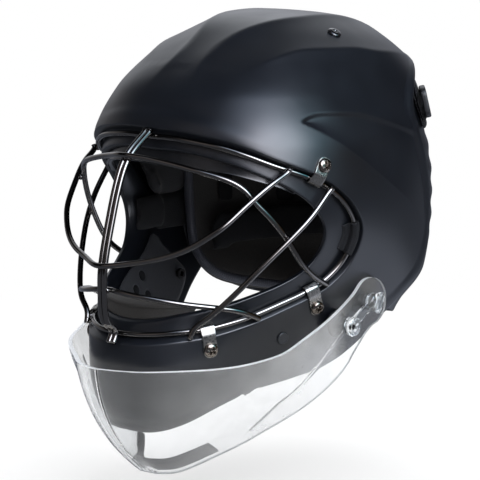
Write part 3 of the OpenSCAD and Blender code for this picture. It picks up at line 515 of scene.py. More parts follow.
# %% The shell's rings
WALL, SEAT, EDGE_ROLL = 4.0, 8.0, 1.2
HOLE_ROUND, FOOT_ROUND, LIP_ROUND = 0.9, 1.3, 1.1
rings = [(off_hole(HOLE_ROUND * (1 - c)), HOLE_ROUND * (s - 1) - SEAT) for s, c in arc(0, 90, 4)]
rings += [(off_hole(m), -SEAT) for m in (2.5, 4.5)]
rings += [(off_seat(-1.4 - FOOT_ROUND * (1 - s)), FOOT_ROUND * (1 - c) - SEAT) for s, c in arc(0, 90, 5)]
rings += [(off_seat(-0.2), -1.7)]
rings += [(off_seat(LIP_ROUND * (1 - c)), LIP_ROUND * (s - 1)) for s, c in arc(0, 90, 5)]
outer_first = len(rings)
rings += [(slerp(off_seat(2.0), off_rear(7.0), s), 0.0) for s in np.linspace(0, 1, 106)[1:-1] ** 0.94]
rings += [(off_rear(6.4), 0.1), (off_rear(5.2), 0.55), (off_rear(3.5), 0.95)]
outer_last = len(rings)
rings += [(off_rear(EDGE_ROLL * (1 - s)), EDGE_ROLL * c) for s, c in arc(0, 90, 5)]
rings += [(off_rear(EDGE_ROLL * (1 - s)), EDGE_ROLL * (1 - c) - WALL) for s, c in arc(90, 0, 4)]
inner_first = len(rings)
rings += [(slerp(off_rear(6.0), off_seat(5.0), s), -WALL) for s in np.linspace(0, 1, 20)]
inner_last = len(rings)
rings += [(off_seat(3.6), -4.9), (off_seat(2.6), -SEAT - WALL), (off_seat(-2.5), -SEAT - WALL)]
rings += [(off_hole(0.0), -SEAT - WALL), (off_hole(0.0), -10.5)]
print("the shell's section has", len(rings), "rings")

# %% [markdown]
# ## The shell's mesh
# The points of a ring stand closer together over the crown, where the creases need them. The relief
# is worked out for the left half and copied to the right one. It fades out at the first and the last
# few rings of the outside, and the inside follows the crown's sink so that the wall keeps its
# thickness.

# %% The shell's mesh
CHIN_END, CHIN_COLUMNS, CROWN_COLUMNS = 96, 76, 225
half_ring = len(seat_ring) // 2
columns = np.concatenate([np.linspace(0, CHIN_END, CHIN_COLUMNS, endpoint=False),
                          np.linspace(CHIN_END, half_ring, CROWN_COLUMNS)])
left_columns = len(columns)
columns = np.concatenate([columns, 2 * half_ring - columns[-2:0:-1]])
i, share = columns.astype(int) % (2 * half_ring), (columns % 1)[None, :, None]
directions = np.stack([d for d, _ in rings])
directions = unit(directions[:, i] * (1 - share) + directions[:, (i + 1) % (2 * half_ring)] * share)
depths = np.array([o for _, o in rings])[:, None] * np.ones(directions.shape[1])
lift = np.zeros(depths.shape)
left_outside = surf(directions[outer_first:outer_last, :left_columns])
lift[outer_first:outer_last, :left_columns] = relief_of(left_outside)
lift[:, left_columns:] = lift[:, left_columns - 2:0:-1]
at = np.arange(outer_last - outer_first)
lift[outer_first:outer_last] *= (ease(at / 5) * ease((outer_last - outer_first - 1 - at) / 5))[:, None]
inner = surf(directions[inner_first:inner_last])
lift[inner_first:inner_last] = -1.3 * ease((inner[..., 2] - 40) / 36) * ease((90 - inner[..., 1]) / 40)
shell_points = surf(directions, depths + lift)
shell = make_piece("shell_moulding", shell_points, grid_faces(*shell_points.shape[:2], True, True))
dress(shell, shell_coat, ["shell"])
print("the shell has", len(shell.data.polygons), "faces; its relief runs from",
      round(float(lift.min()), 2), "to", round(float(lift.max()), 2), "mm")

# %% [markdown]
# ## Bosses for the throat guard
# Two round bosses stand out of each side of the jaw and carry the clear guard's screws. They are
# turned shapes: a profile of radius against height, carried round an axis. A flared foot blends each
# one into the shell, which is how a moulder avoids a weak corner.

# %% Turned shapes and the bosses
SCREW_GAP, SCREW_TILT, BOSS, SHEET, PLAY = 27.0, math.radians(32), 6.0, 3.0, 0.35


def turned(profile, place, axis, across, sides=48):
    """Points and faces of a profile [radius, height] carried round the axis at place."""
    z = unit(np.asarray(axis, float))
    x = unit(np.asarray(across, float) - z * np.dot(across, z))
    y = np.cross(z, x)
    p = np.asarray(profile, float)
    a = np.linspace(0, 2 * np.pi, sides, endpoint=False)
    ring = np.cos(a)[:, None] * x + np.sin(a)[:, None] * y
    points = place + p[:, None, :1] * ring[None] + p[:, None, 1:] * z
    return points, grid_faces(len(p), sides, False, True)


pivot = surf(direction(95, -31.6))
clamp = pivot - SCREW_GAP * np.array([0, math.cos(SCREW_TILT), math.sin(SCREW_TILT)])
boss_x = pivot[0] + BOSS
guard_x = boss_x + PLAY + SHEET
boss_profile = [[0, 0], [5.2, 0], [5.7, -0.2], [6.0, -0.7], [6.05, -3.5], [6.6, -5.4], [8.4, -7.2],
                [9.5, -9.5], [6, -13], [0, -13]]
bosses = [turned(boss_profile, np.array([boss_x, *p[1:]]) * flip, X * flip, Z)
          for _, flip in SIDES for p in (pivot, clamp)]
dress(make_piece("guard_bosses", *join_grids(bosses)), shell_coat)
print("the bosses end at x =", round(float(boss_x), 1), "mm")

# %% [markdown]
# ## Steel for the cage
# The cage is drawn stainless wire, 4 mm thick, welded and then polished. Polished steel is a mirror
# that blurs a little: metallic, with a low roughness. Drawing through a die leaves hair lines along
# the wire and tumbling leaves faint cloudy spots, so the roughness wanders over a few millimetres.

# %% Polished stainless steel
def steel(name, colour, rough, grain_mm):
    """Metal of one colour whose roughness wanders by a third over spots grain_mm wide, with a bump of
    the same spots at a tenth of the size."""
    material, tree, shader = finish_named(name, colour, Metallic=1.0, Roughness=rough)
    place = node(tree, "TexCoord").outputs["Object"]
    spots = node(tree, "TexNoise", {"Vector": place, "Scale": 1000 / grain_mm, "Detail": 4.0}).outputs["Fac"]
    fine = node(tree, "TexNoise", {"Vector": place, "Scale": 10000 / grain_mm, "Detail": 2.0}).outputs["Fac"]
    steer(tree, shader, spots, rough=(0.25, 0.75, rough * 0.67, rough * 1.33))
    steer(tree, shader, fine, bump=(0.06, 0.1))
    return material


wire_steel = steel("stainless_wire_polished", "#716e6b", 0.11, 4)
pressed_steel = steel("stainless_sheet_pressed", "#8f8c87", 0.3, 1.5)
screw_steel = steel("stainless_screw_passivated", "#7d756d", 0.17, 1.5)
# The nuts' near-black colour is painted shade, which hides them inside the shell.
nut_steel = steel("steel_nut_painted_shade", "#2c2a28", 0.35, 1.5)
print("made", wire_steel.name, pressed_steel.name, screw_steel.name, nut_steel.name)

# %% [markdown]
# ## The wires
# A wire is a round profile carried along a smooth path. At each point of the path two directions
# square to it are needed. Taking one of them as near as possible to straight out from the head keeps
# the profile from twisting. The ends are rounded by a few smaller rings, as a ground wire end is.

# %% Round bars along a path
WIRE_RADIUS = 2.0


def round_bar(path, radius=WIRE_RADIUS, closed=False, sides=20, cap=0.8):
    """Points and faces of a circle of that radius carried along path. Open ends shrink over cap mm on
    a quarter circle and close in a point."""
    ahead = np.roll(path, -1, 0) - np.roll(path, 1, 0) if closed else np.gradient(path, axis=0)
    t = unit(ahead)
    radii = np.full(len(path), radius)
    if not closed:
        s = np.radians([90, 70, 50, 30, 12])
        before = path[0] - t[0] * (np.sin(s) * cap - cap)[:, None]
        after = path[-1] + t[-1] * (np.sin(s[::-1]) * cap - cap)[:, None]
        inner = slice(1, -1)
        shrink = radius - cap * (1 - np.cos(s))
        shrink[0] = 0.0
        path = np.concatenate([before, path[inner], after])
        t = np.concatenate([np.repeat(t[:1], len(s), 0), t[inner], np.repeat(t[-1:], len(s), 0)])
        radii = np.concatenate([shrink, radii[inner], shrink[::-1]])
    out = unit(path - t * (path * t).sum(-1, keepdims=True))
    across = np.cross(t, out)
    a = np.linspace(0, 2 * np.pi, sides, endpoint=False)[None, :, None]
    points = path[:, None] + (out[:, None] * np.cos(a) + across[:, None] * np.sin(a)) * radii[:, None, None]
    return points, grid_faces(len(path), sides, closed, True)


print("a bar through 5 points has", len(round_bar(surf(direction(np.arange(5), 0)))[1]), "faces")

# %% [markdown]
# ## The paths of the wires
# The rim wire lies in the seat. Every other wire starts over the rim wire, crosses the opening and ends
# over the rim wire again, and is bent on a jig, which leaves round corners. Each list gives azimuth,
# elevation and distance outside the shell for the left half of a wire. Where two wires cross, their
# middles are one lap apart, and more where they meet at a slant.

# %% The wires' lists of points
RIM_INSET, RIM_OUT, OVER_RIM, NOSE_OUT, LAP, SLANT = 4.4, -4.4, -0.1, 27.0, 4.3, 1.12
rim_path = surf(off_seat(-RIM_INSET), RIM_OUT)
middle_line = [[0, 26, OVER_RIM], [0, 17, NOSE_OUT - 11], [0, 8.7, NOSE_OUT - 4], [0, 0, NOSE_OUT],
               [0, -12, NOSE_OUT], [0, -20, NOSE_OUT - 5.5], [0, -29, NOSE_OUT - 13.5],
               [0, -34, OVER_RIM + 2]]
brow_line = [[0, 17, NOSE_OUT - 10.5 + SLANT * LAP], [10, 16.8, 11], [24, 14.4, 7.5], [33, 12.3, 5],
             [38, 9.5, 3.5], [41, 6, 2], [47, 0.5, 0], [55, -7, OVER_RIM - 0.5], [66, -17.5, OVER_RIM + 1.4]]
eye_line = [[0, -12, NOSE_OUT + SLANT * LAP], [9, -11.5, 24], [18, -10, 21], [25, -7.5, 19], [30, -4, 17],
            [34, -0.5, 14.5], [38.5, 4.5, 9.5], [46, 11, 4.5], [52, 15, OVER_RIM]]
cross_line = [[67, 8, OVER_RIM], [61, 0.5, 2], [55, -7, 4], [50.5, -14, 6], [47, -21, 8.3], [43, -27.5, 8],
              [38.5, -32, OVER_RIM + 1.5]]
mouth_line = [[0, -20, NOSE_OUT - 5.5 - SLANT * LAP], [10, -21, 15], [20, -22.5, 11], [31, -24.5, 6.5],
              [42, -26.6, 3], [51, -28.4, 2.4]]
print("the rim wire is", round(run_of(rim_path)[-1]), "mm long")

# %% [markdown]
# ## Bending the wires
# Where a wire ends over the rim wire is given by a station, counted from the chin up to the brow and
# round, because a clip or a loop can then be placed by the same count. The two middle bars are one
# path moved to both sides.

# %% The wires
PAIR_HALF, BEND = 2.03, 7


def bar_points(rows):
    """Points given by azimuth, elevation and distance outside the surface."""
    a = np.array(rows, float)
    return surf(direction(a[:, 0], a[:, 1]), a[:, 2])


def rim_end(station):
    """Point over the rim wire at a station, counted 0 to 76 from the chin up to the brow and round: 1.5
    mm nearer the seat's edge than the wire, and 1.3 laps further out, measured along the normal."""
    ring = off_seat(1.5 - RIM_INSET)
    at = station * SPAN / 2
    i = int(at) % len(ring)
    d = unit(ring[i] * (1 - at % 1) + ring[(i + 1) % len(ring)] * (at % 1))
    return surf(d, RIM_OUT + 1.3 * LAP / float(np.dot(d, normal(d))))


def bent(path):
    """The path with its corners rounded by a running mean, as a bender's jig leaves them. Both ends stay
    in place, and the rounding grows over the 14 points next to them."""
    fade = ease(np.minimum(np.arange(len(path)), np.arange(len(path))[::-1]) / 14)[:, None]
    return path * (1 - fade) + running_mean(path, BEND) * fade


def across_face(rows, end):
    """Path of a bar from one side's rim to the other's, from the list for its left half."""
    half = np.concatenate([bar_points(rows), rim_end(end)[None]])
    return catmull(np.concatenate([half[:0:-1] * MIRROR, half]), SPAN)


def to_rim(first, rows, last):
    """Path of a bar between two stations over the rim wire."""
    return catmull(np.concatenate([rim_end(first)[None], bar_points(rows), rim_end(last)[None]]), SPAN)


middle_path = bent(to_rim(38, middle_line, 0))
cross_path = to_rim(24.8, cross_line, 4.8)
paths = {"cage_brow_bar": bent(across_face(brow_line, 14.2)),
         "cage_eye_loop": bent(across_face(eye_line, 27.4)),
         "cage_mouth_bar": bent(across_face(mouth_line, 8.6)),
         "cage_cross_bar_left": bent(cross_path), "cage_cross_bar_right": bent(cross_path * MIRROR)}
pair_paths = [middle_path + [way * PAIR_HALF, 0, 0] for way in (-1, 1)]
forms = {name: round_bar(path) for name, path in paths.items()}
forms["cage_rim"] = round_bar(rim_path, closed=True)
forms["cage_middle_bars"] = join_grids([round_bar(path) for path in pair_paths])
for name, form in forms.items():
    dress(make_piece(name.replace("cage", "wire"), *form), wire_steel, [name])
print("made", len(forms), "pieces of wire")

# %% [markdown]
# ## Weld beads
# Where two wires cross, a spot weld fills the gap between them. A bead is a small squashed ball: a
# half circle of radii turned round the line that joins the two wires. The crossings don't have to be
# listed by place, because the nearest points of each pair of paths show where they are.

# %% Beads at the crossings
BEAD, WELD_REACH, BEAD_SIDES = 2.1, 5.5, 16


def nearest_points(a, b):
    """Nearest point of path a to path b, that point of b, and their distance."""
    gaps = np.linalg.norm(a[:, None] - b[None], axis=-1)
    i, j = np.unravel_index(gaps.argmin(), gaps.shape)
    return a[i], b[j], gaps[i, j]


def left_of(path, x):
    """The points of a path that lie further to the left than x."""
    return path[path[:, 0] > x]


bead_profile = [[BEAD * s, -BEAD * c] for s, c in arc(0, 180, 9)]
face_bars = [paths[name] for name in ("cage_brow_bar", "cage_eye_loop", "cage_mouth_bar")]
brow, eye, mouth = (left_of(path, 25) for path in face_bars)
left_rim, half_way = left_of(rim_path, 3), len(cross_path) // 2
crossings = [(brow, eye), (brow, cross_path), (eye, cross_path), (mouth, cross_path), (brow, left_rim),
             (eye, left_rim), (mouth, left_rim), (cross_path[:half_way], left_rim),
             (cross_path[half_way:], left_rim)]
beads = []
for first, second in crossings:
    p, q, gap = nearest_points(first, second)
    if gap < WELD_REACH:
        middle, way = (p + q) / 2, q - p
        beads += [turned(bead_profile, middle * flip, way * flip, Z, BEAD_SIDES) for _, flip in SIDES]
for bar in face_bars:
    for path in pair_paths:
        p, q, _ = nearest_points(bar, path)
        beads.append(turned(bead_profile, (p + q) / 2, q - p, X, BEAD_SIDES))
dress(make_piece("weld_beads", *join_grids(beads)), wire_steel)
print("made", len(beads), "weld beads")

# %% [markdown]
# ## Clips over the rim wire
# Three clips a side hold the cage to the shell. Each is a strip of pressed steel: round at the end
# under the screw, straight, then bent over the rim wire. The strip is a flat grid whose rows follow
# the bent line and whose half width shrinks on a circle at the round end. Solidify gives it its
# thickness and Bevel takes the edges off.

# %% Where the clips sit
CLIP_HALF, HOOK_RADIUS, STRIP_MIDDLE, STEP = 5, 3.2, 0.9, 0.2
clip_places = {"upper": (65.5, 17.3), "rear": (77.5, -31.5), "front": (46.4, -39.2)}
rim_stations = rim_path[::SPAN // 2]


def clip_frame(az, el):
    """Screw point, normal, nearest point on the rim's spans between stations, and the way there."""
    p, n = surf(direction(az, el)), normal(direction(az, el))
    a, v = rim_stations, np.roll(rim_stations, -1, 0) - rim_stations
    t = np.clip(((p - a) * v).sum(-1) / (v * v).sum(-1), 0, 1)[:, None]
    q = a + v * t
    i = np.linalg.norm(q - p, axis=-1).argmin()
    way = unit(np.cross(unit(v[i]), n))
    return p, n, q[i], way * np.sign(np.dot(way, q[i] - p))


frames = {name: clip_frame(*place) for name, place in clip_places.items()}
print("the clips' screws stand", [round(float(np.linalg.norm(q - p)), 1) for p, _, q, _ in frames.values()],
      "mm from the rim wire")

# %% [markdown]
# ## The strip of a clip
# Seen from the side a clip is a line of straight runs and an arc over the wire. Its corners are
# rounded by a running mean over equal steps, which is close to what a press brake leaves in thin sheet.

# %% Pressed clips
def bent_line(points):
    """A line through the points in equal steps, its corners rounded by a running mean of seven steps, and
    how far along it each point is."""
    p = np.asarray(points, float)
    at = run_of(p)
    s = np.arange(0, at[-1], STEP)
    return running_mean(np.stack([np.interp(s, at, p[:, k]) for k in (0, 1)], -1), 7), s


def clip_strip(place, out, wire, way):
    """Grid of the clip's middle surface: along the strip, and across it from -1 to 1. The half width is
    the height of a circle over its round end, less 6 % at a waist before the hook."""
    across = np.cross(out, way)
    wire_at, wire_out = np.dot(wire - place, way), np.dot(wire - place, out)
    hook = [[wire_at + HOOK_RADIUS * math.cos(a), wire_out + HOOK_RADIUS * math.sin(a)]
            for a in np.radians(np.linspace(78, -38, 12))]
    line, at = bent_line([[-6, STRIP_MIDDLE], [wire_at - 3.4, STRIP_MIDDLE]] + hook)
    end = np.sqrt(np.clip(CLIP_HALF ** 2 - np.clip(4.97 - at, 0, 5) ** 2, 0.02, CLIP_HALF ** 2))
    half = end * (1 - 0.06 * np.exp(-((at - 13) / 3.2) ** 2))
    v = np.linspace(-1, 1, 11)[None, :, None] * half[:, None, None]
    return place + line[:, None, :1] * way + line[:, None, 1:] * out + v * across


def finish_edges(piece, thickness, offset, bevel):
    """Solidify to a thickness, then a small bevel on the sharp edges."""
    solid = piece.modifiers.new("thickness", "SOLIDIFY")
    solid.thickness, solid.offset, solid.use_even_offset = thickness * MM, offset, True
    edge = piece.modifiers.new("edge", "BEVEL")
    edge.width, edge.segments = bevel * MM, 2
    edge.limit_method, edge.angle_limit = "ANGLE", math.radians(50)
    return piece


for name, clip in frames.items():
    grid = clip_strip(*clip)
    strips = make_pair(f"clip_{name}", "strip", grid, grid_faces(*grid.shape[:2]), pressed_steel, "clip")
    for piece in strips:
        finish_edges(piece, thickness=1.2, offset=0, bevel=0.22)
    print("the", name, "clip's strip is", round(STEP * (len(grid) - 1), 1), "mm long")

# %% [markdown]
# ## Screw heads
# A pan-head screw with a cross recess holds each clip. Its head is a height over a disc: a low dome,
# less the cross, whose arms have sloping sides as the punch leaves them. One formula gives the height
# at every point of a polar grid, so no cutting is needed. The nuts inside the shell keep their CAD
# solids, which are hexagons with a bore. They get a near-black steel whose darkness is painted shade,
# so that they hide inside the shell.

# %% Pan heads with a cross recess
def pan_head(place, axis, across, radius=5.0, height=3.0, arm=3.1, width=0.8, deep=2.6, sides=112):
    """Grid of a head: height = h (0.3 + 0.7 (1 - (r/R)^2.4)^0.5) less deep times a cross of two bars with
    sides that slope over 0.2 mm and ends that slope over 0.4 mm."""
    z = unit(np.asarray(axis, float))
    x = unit(np.asarray(across, float) - z * np.dot(across, z))
    y = np.cross(z, x)
    r = np.concatenate([np.linspace(0, arm * 1.25, 26), np.linspace(arm * 1.25, radius, 12)[1:]])
    a = np.linspace(0, 2 * np.pi, sides, endpoint=False)
    u, v = r[:, None] * np.cos(a), r[:, None] * np.sin(a)
    across_u = ease((width + 0.2 - np.abs(v)) / 0.2) * ease((arm - np.abs(u)) / 0.4)
    across_v = ease((width + 0.2 - np.abs(u)) / 0.2) * ease((arm - np.abs(v)) / 0.4)
    dome = height * (0.3 + 0.7 * np.sqrt(np.clip(1 - (r / radius) ** 2.4, 0, 1)))[:, None]
    h = dome - deep * np.maximum(across_u, across_v)
    rim = np.array([[radius, 0.12 * height], [radius - 0.12, 0.0], [radius * 0.5, 0.0], [0.0, 0.0]])
    u = np.concatenate([u, rim[:, :1] * np.cos(a)])
    v = np.concatenate([v, rim[:, :1] * np.sin(a)])
    h = np.concatenate([h, rim[:, 1:] * np.ones(sides)])
    points = place + u[..., None] * x + v[..., None] * y + h[..., None] * z
    return points, grid_faces(*points.shape[:2], False, True)


recess_turn = {"upper": 35, "rear": 60, "front": 50}
shank = [[2.0, 0.2], [2.0, -8.4], [1.6, -9.4], [0.0, -9.4]]
for name, (place, out, _, way) in frames.items():
    a = math.radians(recess_turn[name])
    across = way * math.cos(a) + np.cross(out, way) * math.sin(a)
    parts = [pan_head(place + out * 1.55, out, across), turned(shank, place + out * 1.5, out, way, 24)]
    make_pair(f"screw_{name}", "head", *join_grids(parts), screw_steel, "screw")
# The nuts take the near-black steel, whose darkness is painted shade.
for stem in ("clip_nuts", "guard_nuts"):
    for side, _ in SIDES:
        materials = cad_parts[f"{stem}_{side}"].data.materials
        materials.clear()
        materials.append(nut_steel)
print("made", 2 * len(frames), "screws")

# %% [markdown]
# ## Caps in the shell
# A glossy black rivet sits on each side of the crown and a matt black plug in each side of the jaw.
# Both are turned shapes that stand on the surface, so they need only its normal there. The rivet
# takes a mirror-like lacquer, because the picture shows it as the one sharp glint on a matt shell.

# %% Rivets and plugs
def lacquer(name, colour, rough):
    """Gloss paint over plastic: an even colour under a clear coat, with dust specks that dull it."""
    material, tree, shader = finish_named(name, colour, Roughness=rough, Coat_Weight=0.8, Coat_Roughness=0.06)
    place = node(tree, "TexCoord").outputs["Object"]
    dust = node(tree, "TexNoise", {"Vector": place, "Scale": 1 / (1.5 * MM), "Detail": 5.0}).outputs["Fac"]
    steer(tree, shader, dust, rough=(0.55, 0.8, rough, rough + 0.3))
    return material


rivet_gloss = lacquer("rivet_black_lacquer", "#111114", 0.22)
plug_matt = soft_touch("polyamide_plug_black", "#14161b", "#191c22", 0.42)
rivet_profile = [[0, -3], [2, -3], [2, 0.1], [4.6, 0.1], [4.95, 0.3], [5.0, 0.7], [4.7, 1.25], [3.9, 1.75],
                 [2.8, 2.05], [1.6, 2.15], [1.3, 2.0], [1.1, 1.4], [0, 1.3]]
plug_profile = [[0, -3], [2, -3], [2, 0.1], [4.2, 0.1], [4.45, 0.3], [4.5, 0.6], [4.35, 1.0], [4.0, 1.25],
                [3.6, 1.3], [3.3, 1.15], [2.2, 1.2], [0, 1.3]]
for stem, spot, profile, finish in (("crown_rivet", (90.6, 65), rivet_profile, rivet_gloss),
                                    ("jaw_plug", (69.9, -39.4), plug_profile, plug_matt)):
    d = direction(*spot)
    seat = surf(d, float(relief_of(surf(d)[None])[0]))
    make_pair(stem, "cap", *turned(profile, seat, normal(d), Z), finish, "cap")
print("made the rivets and the plugs")

# %% [markdown]
# ## Clear plastic
# The throat guard is cut from clear polycarbonate sheet and bent warm. Polycarbonate has a higher index
# of refraction than glass has, 1.585, so its edges throw back the white room. The sheet is drawn with
# 1.35, because what it mirrors here is darker than that room and would grey it. Handling and bending
# leave fine scuffs, most of them on the flanks: they scatter a share of the light.

# %% Clear polycarbonate
SCUFFS_START, SCUFFS_FULL, TABS_START, TABS_FULL, TAB_SCUFFS = -152 * MM, -75 * MM, -36 * MM, -20 * MM, 0.03


def clear_plastic(name, colour, rough, index, scuffs=None):
    """A see-through solid whose roughness wanders with 20 mm smears. Scuffs scatter a share of the light:
    it grows from the first number at the front to the second on the flanks, falls back on the tabs, and is
    multiplied by 0.7 to 1.3 in the same smears."""
    material, tree, shader = finish_named(name, colour, Roughness=rough, IOR=index, Transmission_Weight=1.0)
    place = node(tree, "TexCoord").outputs["Object"]
    smear = node(tree, "TexNoise", {"Vector": place, "Scale": 1 / (20 * MM), "Detail": 6.0,
                                    "Roughness": 0.7}).outputs["Fac"]
    steer(tree, shader, smear, rough=(0.35, 0.75, rough, rough + 0.08))
    if scuffs:
        along = node(tree, "SeparateXYZ", {0: place}).outputs["Y"]
        flank = node(tree, "MapRange", {"Value": along, "From Min": SCUFFS_START, "From Max": SCUFFS_FULL,
                                        "To Min": scuffs[0], "To Max": scuffs[1]}).outputs["Result"]
        tabs = node(tree, "MapRange", {"Value": along, "From Min": TABS_START, "From Max": TABS_FULL,
                                       "To Min": scuffs[1], "To Max": TAB_SCUFFS}).outputs["Result"]
        share = node(tree, "Math", {0: flank, 1: tabs}, operation="MINIMUM").outputs[0]
        uneven = node(tree, "MapRange", {"Value": smear, "From Min": 0.3, "From Max": 0.7, "To Min": 0.7,
                                         "To Max": 1.3}).outputs["Result"]
        hazy = node(tree, "Math", {0: share, 1: uneven}, operation="MULTIPLY").outputs[0]
        clear = node(tree, "Math", {0: 1.0, 1: hazy}, operation="SUBTRACT").outputs[0]
        tree.links.new(clear, shader.inputs["Transmission Weight"])
    return material


clear_sheet = clear_plastic("polycarbonate_sheet_clear", "#fdfeff", 0.02, 1.35, (0.02, 0.22))
clear_moulded = clear_plastic("polycarbonate_moulded_clear", "#f2f6f9", 0.05, 1.585)
print("made", clear_sheet.name, "and", clear_moulded.name)

# %% [markdown]
# ## The sawn edge of the sheet
# The edge of the sheet was sawn and filed, so it is frosted and catches the light as a pale line. The
# saw's marks are under a millimetre apart, and noise of that size stands for them.

# %% Cut edge
cut_edge, tree, shader = finish_named("polycarbonate_cut_edge", "#f8fbff", Roughness=0.3, IOR=1.585,
                                      Transmission_Weight=0.15)
place = node(tree, "TexCoord").outputs["Object"]
saw = node(tree, "TexNoise", {"Vector": place, "Scale": 1 / (0.8 * MM), "Detail": 2.0}).outputs["Fac"]
steer(tree, shader, saw, bump=(0.2, 0.2))
print("made", cut_edge.name)

# %% [markdown]
# ## The edges of the throat guard
# Seen flat, the guard is a long sheet with a round tab at each end. Its upper and lower edges are two
# smooth lines that run from the middle of the chin to a tab and meet behind it, so the tab is part of
# the same grid and needs no joint.

# %% The guard's edges
TAB_RADIUS, GUARD_STEPS = 17, 10
chin_front, chin_bottom = surf(direction(0, -45)), surf(direction(0, -61))
guard_reach, guard_drop = pivot[1] - chin_front[1] + 18, pivot[2] - chin_bottom[2] + 34


def tab(degrees):
    """Point of the round tab at that angle, as shares of the half width, the reach and the drop."""
    a = math.radians(degrees)
    return [1, -TAB_RADIUS * math.cos(a) / guard_reach, -TAB_RADIUS * math.sin(a) / guard_drop]


upper_half = [[0, 1, 0.32], [0.16, 0.97, 0.322], [0.31, 0.915, 0.325], [0.48, 0.83, 0.32],
              [0.68, 0.735, 0.305], [0.83, 0.635, 0.28], [0.93, 0.5, 0.235], [0.985, 0.4, 0.16],
              [1, 0.29, 0.09], [1, 0.19, 0.02], [1, 0.105, -0.055],
              *(tab(a) for a in (122, 98, 74, 48, 20, -13))]
lower_half = [[0, 0.69, 1], [0.1, 0.68, 1], [0.21, 0.62, 0.985], [0.38, 0.5, 0.89], [0.55, 0.41, 0.79],
              [0.72, 0.33, 0.68], [0.86, 0.26, 0.57], [0.96, 0.19, 0.45], [1, 0.14, 0.36], [1, 0.09, 0.28],
              [1, 0.04, 0.2], [1, -0.008, 0.148]] + [tab(a) for a in (-64, -53, -42, -30, -17)]


def guard_rail(half):
    """Smooth line of an edge over both sides: shares of the half width, the reach and the drop."""
    p = np.array([0, *pivot[1:]]) + np.array(half) * [guard_x, -guard_reach, -guard_drop]
    line = catmull(p, GUARD_STEPS)
    return np.concatenate([line[:0:-1] * MIRROR, line])


guard_top, guard_low = guard_rail(upper_half), guard_rail(lower_half)
guard_at = (np.arange(len(guard_top)) - (len(guard_top) - 1) / 2) / GUARD_STEPS
print("the guard's upper edge is", round(run_of(guard_top)[-1]), "mm long")

# %% [markdown]
# ## The guard's sheet
# Between its two edges the sheet bulges forward, most half way down. A bend line crosses each flank,
# where the sheet was folded over an edge while warm, and a short groove leaves it. Solidify gives the
# sheet its 3 mm, and the rim that it makes takes the sawn finish.

# %% The guard's sheet
BULGE, FOLD_DEPTH, GROOVE_DEPTH = 13, 0.8, 0.6


def sheet_point(at, share):
    """Point of the outer face, at counted in the lists' points from the middle and share from the upper
    edge down, one list or a row for each: a straight mix of the two edges, plus the bulge times 4s(1-s)
    times a smooth step of at."""
    top, low = (np.stack([np.interp(at, guard_at, edge[:, k]) for k in range(3)], -1)[None]
                for edge in (guard_top, guard_low))
    s = share.reshape(len(share), -1, 1)
    push = BULGE * 4 * s * (1 - s) * ease((1 - np.abs(at) / 11) * 2.5)[None, :, None]
    return top * (1 - s) + low * s + push * [0, -0.85, -0.3]


def bend_lines(at, share):
    """Millimetres that the sheet lies deeper below a bend line that runs from the tab down to the lower
    edge, a step over 2 % of the height, and in a groove that leaves the line."""
    a, s = np.abs(at)[None], share[:, None]
    bend = np.interp(a, [3.8, 5.45, 7.75, 9.1], [0.94, 0.71, 0.57, 0.49])
    step = ease((s - bend) / 0.02) * ease((a - 3.6) / 0.8) * ease((9.8 - a) / 1.2)
    along = np.clip((s - 0.29) / 0.33, 0, 1)
    groove = np.exp(-((a - 5.1 + 0.9 * along) / 0.1) ** 2) * ease((s - 0.26) / 0.05) * ease((0.66 - s) / 0.05)
    return FOLD_DEPTH * step + GROOVE_DEPTH * groove


shares = np.concatenate([[0, 0.004], np.linspace(0.02, 0.98, 72), [0.996, 1]])
guard_grid = sheet_point(guard_at, shares)
face_way = unit(np.cross(np.gradient(guard_grid, axis=0), np.gradient(guard_grid, axis=1)))
face_way *= np.sign((face_way * (guard_grid - guard_grid.mean((0, 1)) * [0, 1, 1])).sum(-1, keepdims=True))
guard_grid = guard_grid - face_way * bend_lines(guard_at, shares)[..., None]
guard = make_piece("guard_sheet", guard_grid, grid_faces(*guard_grid.shape[:2]))
dress(finish_edges(guard, SHEET, -1, 0.5), clear_sheet, ["throat_guard"], "guard")
guard.data.materials.append(cut_edge)
guard.modifiers["thickness"].material_offset_rim = 1
print("the guard is", round(float(guard_grid[..., 0].max() * 2)), "mm wide and hangs to z =",
      round(float(guard_grid[..., 2].min()), 1))

# %% [markdown]
# ## The links of the guard
# A clear moulded link joins the pivot to the clamp screw on each side. It is an outline of two open
# rings that meet, given a thickness with rounded edges: rings of the outline are inset on a quarter
# circle, which is what a moulder's rounded cavity leaves.

# %% Outlines with rounded edges
LINK_END, LINK_THICK, LINK_GAP = 6.5, 2.5, 0.35


def rounded_slab(outline, low, high, bevel):
    """Points and faces of an outline [u, v] given a thickness: rings inset on a quarter circle at both
    edges, and one flat face at each end. u, v and the height become the first three coordinates."""
    p = np.asarray(outline, float)
    ahead = unit(np.roll(p, -1, 0) - np.roll(p, 1, 0))
    inward = np.stack([-ahead[:, 1], ahead[:, 0]], -1)
    turns = list(arc(0, 90, 4))
    levels = [(bevel * (1 - s), low + bevel * (1 - c)) for s, c in turns]
    levels += [(bevel * (1 - s), high - bevel * (1 - c)) for s, c in turns[::-1]]
    points = [np.concatenate([p + inward * inset, np.full((len(p), 1), h)], -1) for inset, h in levels]
    m, n = len(levels), len(p)
    ends = [list(range(n))[::-1], list(range((m - 1) * n, m * n))]
    return np.concatenate(points), grid_faces(m, n, False, True).tolist() + ends


def flatten_ends(piece):
    """The large end faces keep flat shading, so that they don't look pillowed."""
    for face in piece.data.polygons:
        face.use_smooth = len(face.vertices) < 5


def ring_points(angles, centre):
    """Points [u, v] of a link's round end at those angles round [centre, 0]."""
    return np.stack([centre + LINK_END * np.cos(angles), LINK_END * np.sin(angles)], -1)


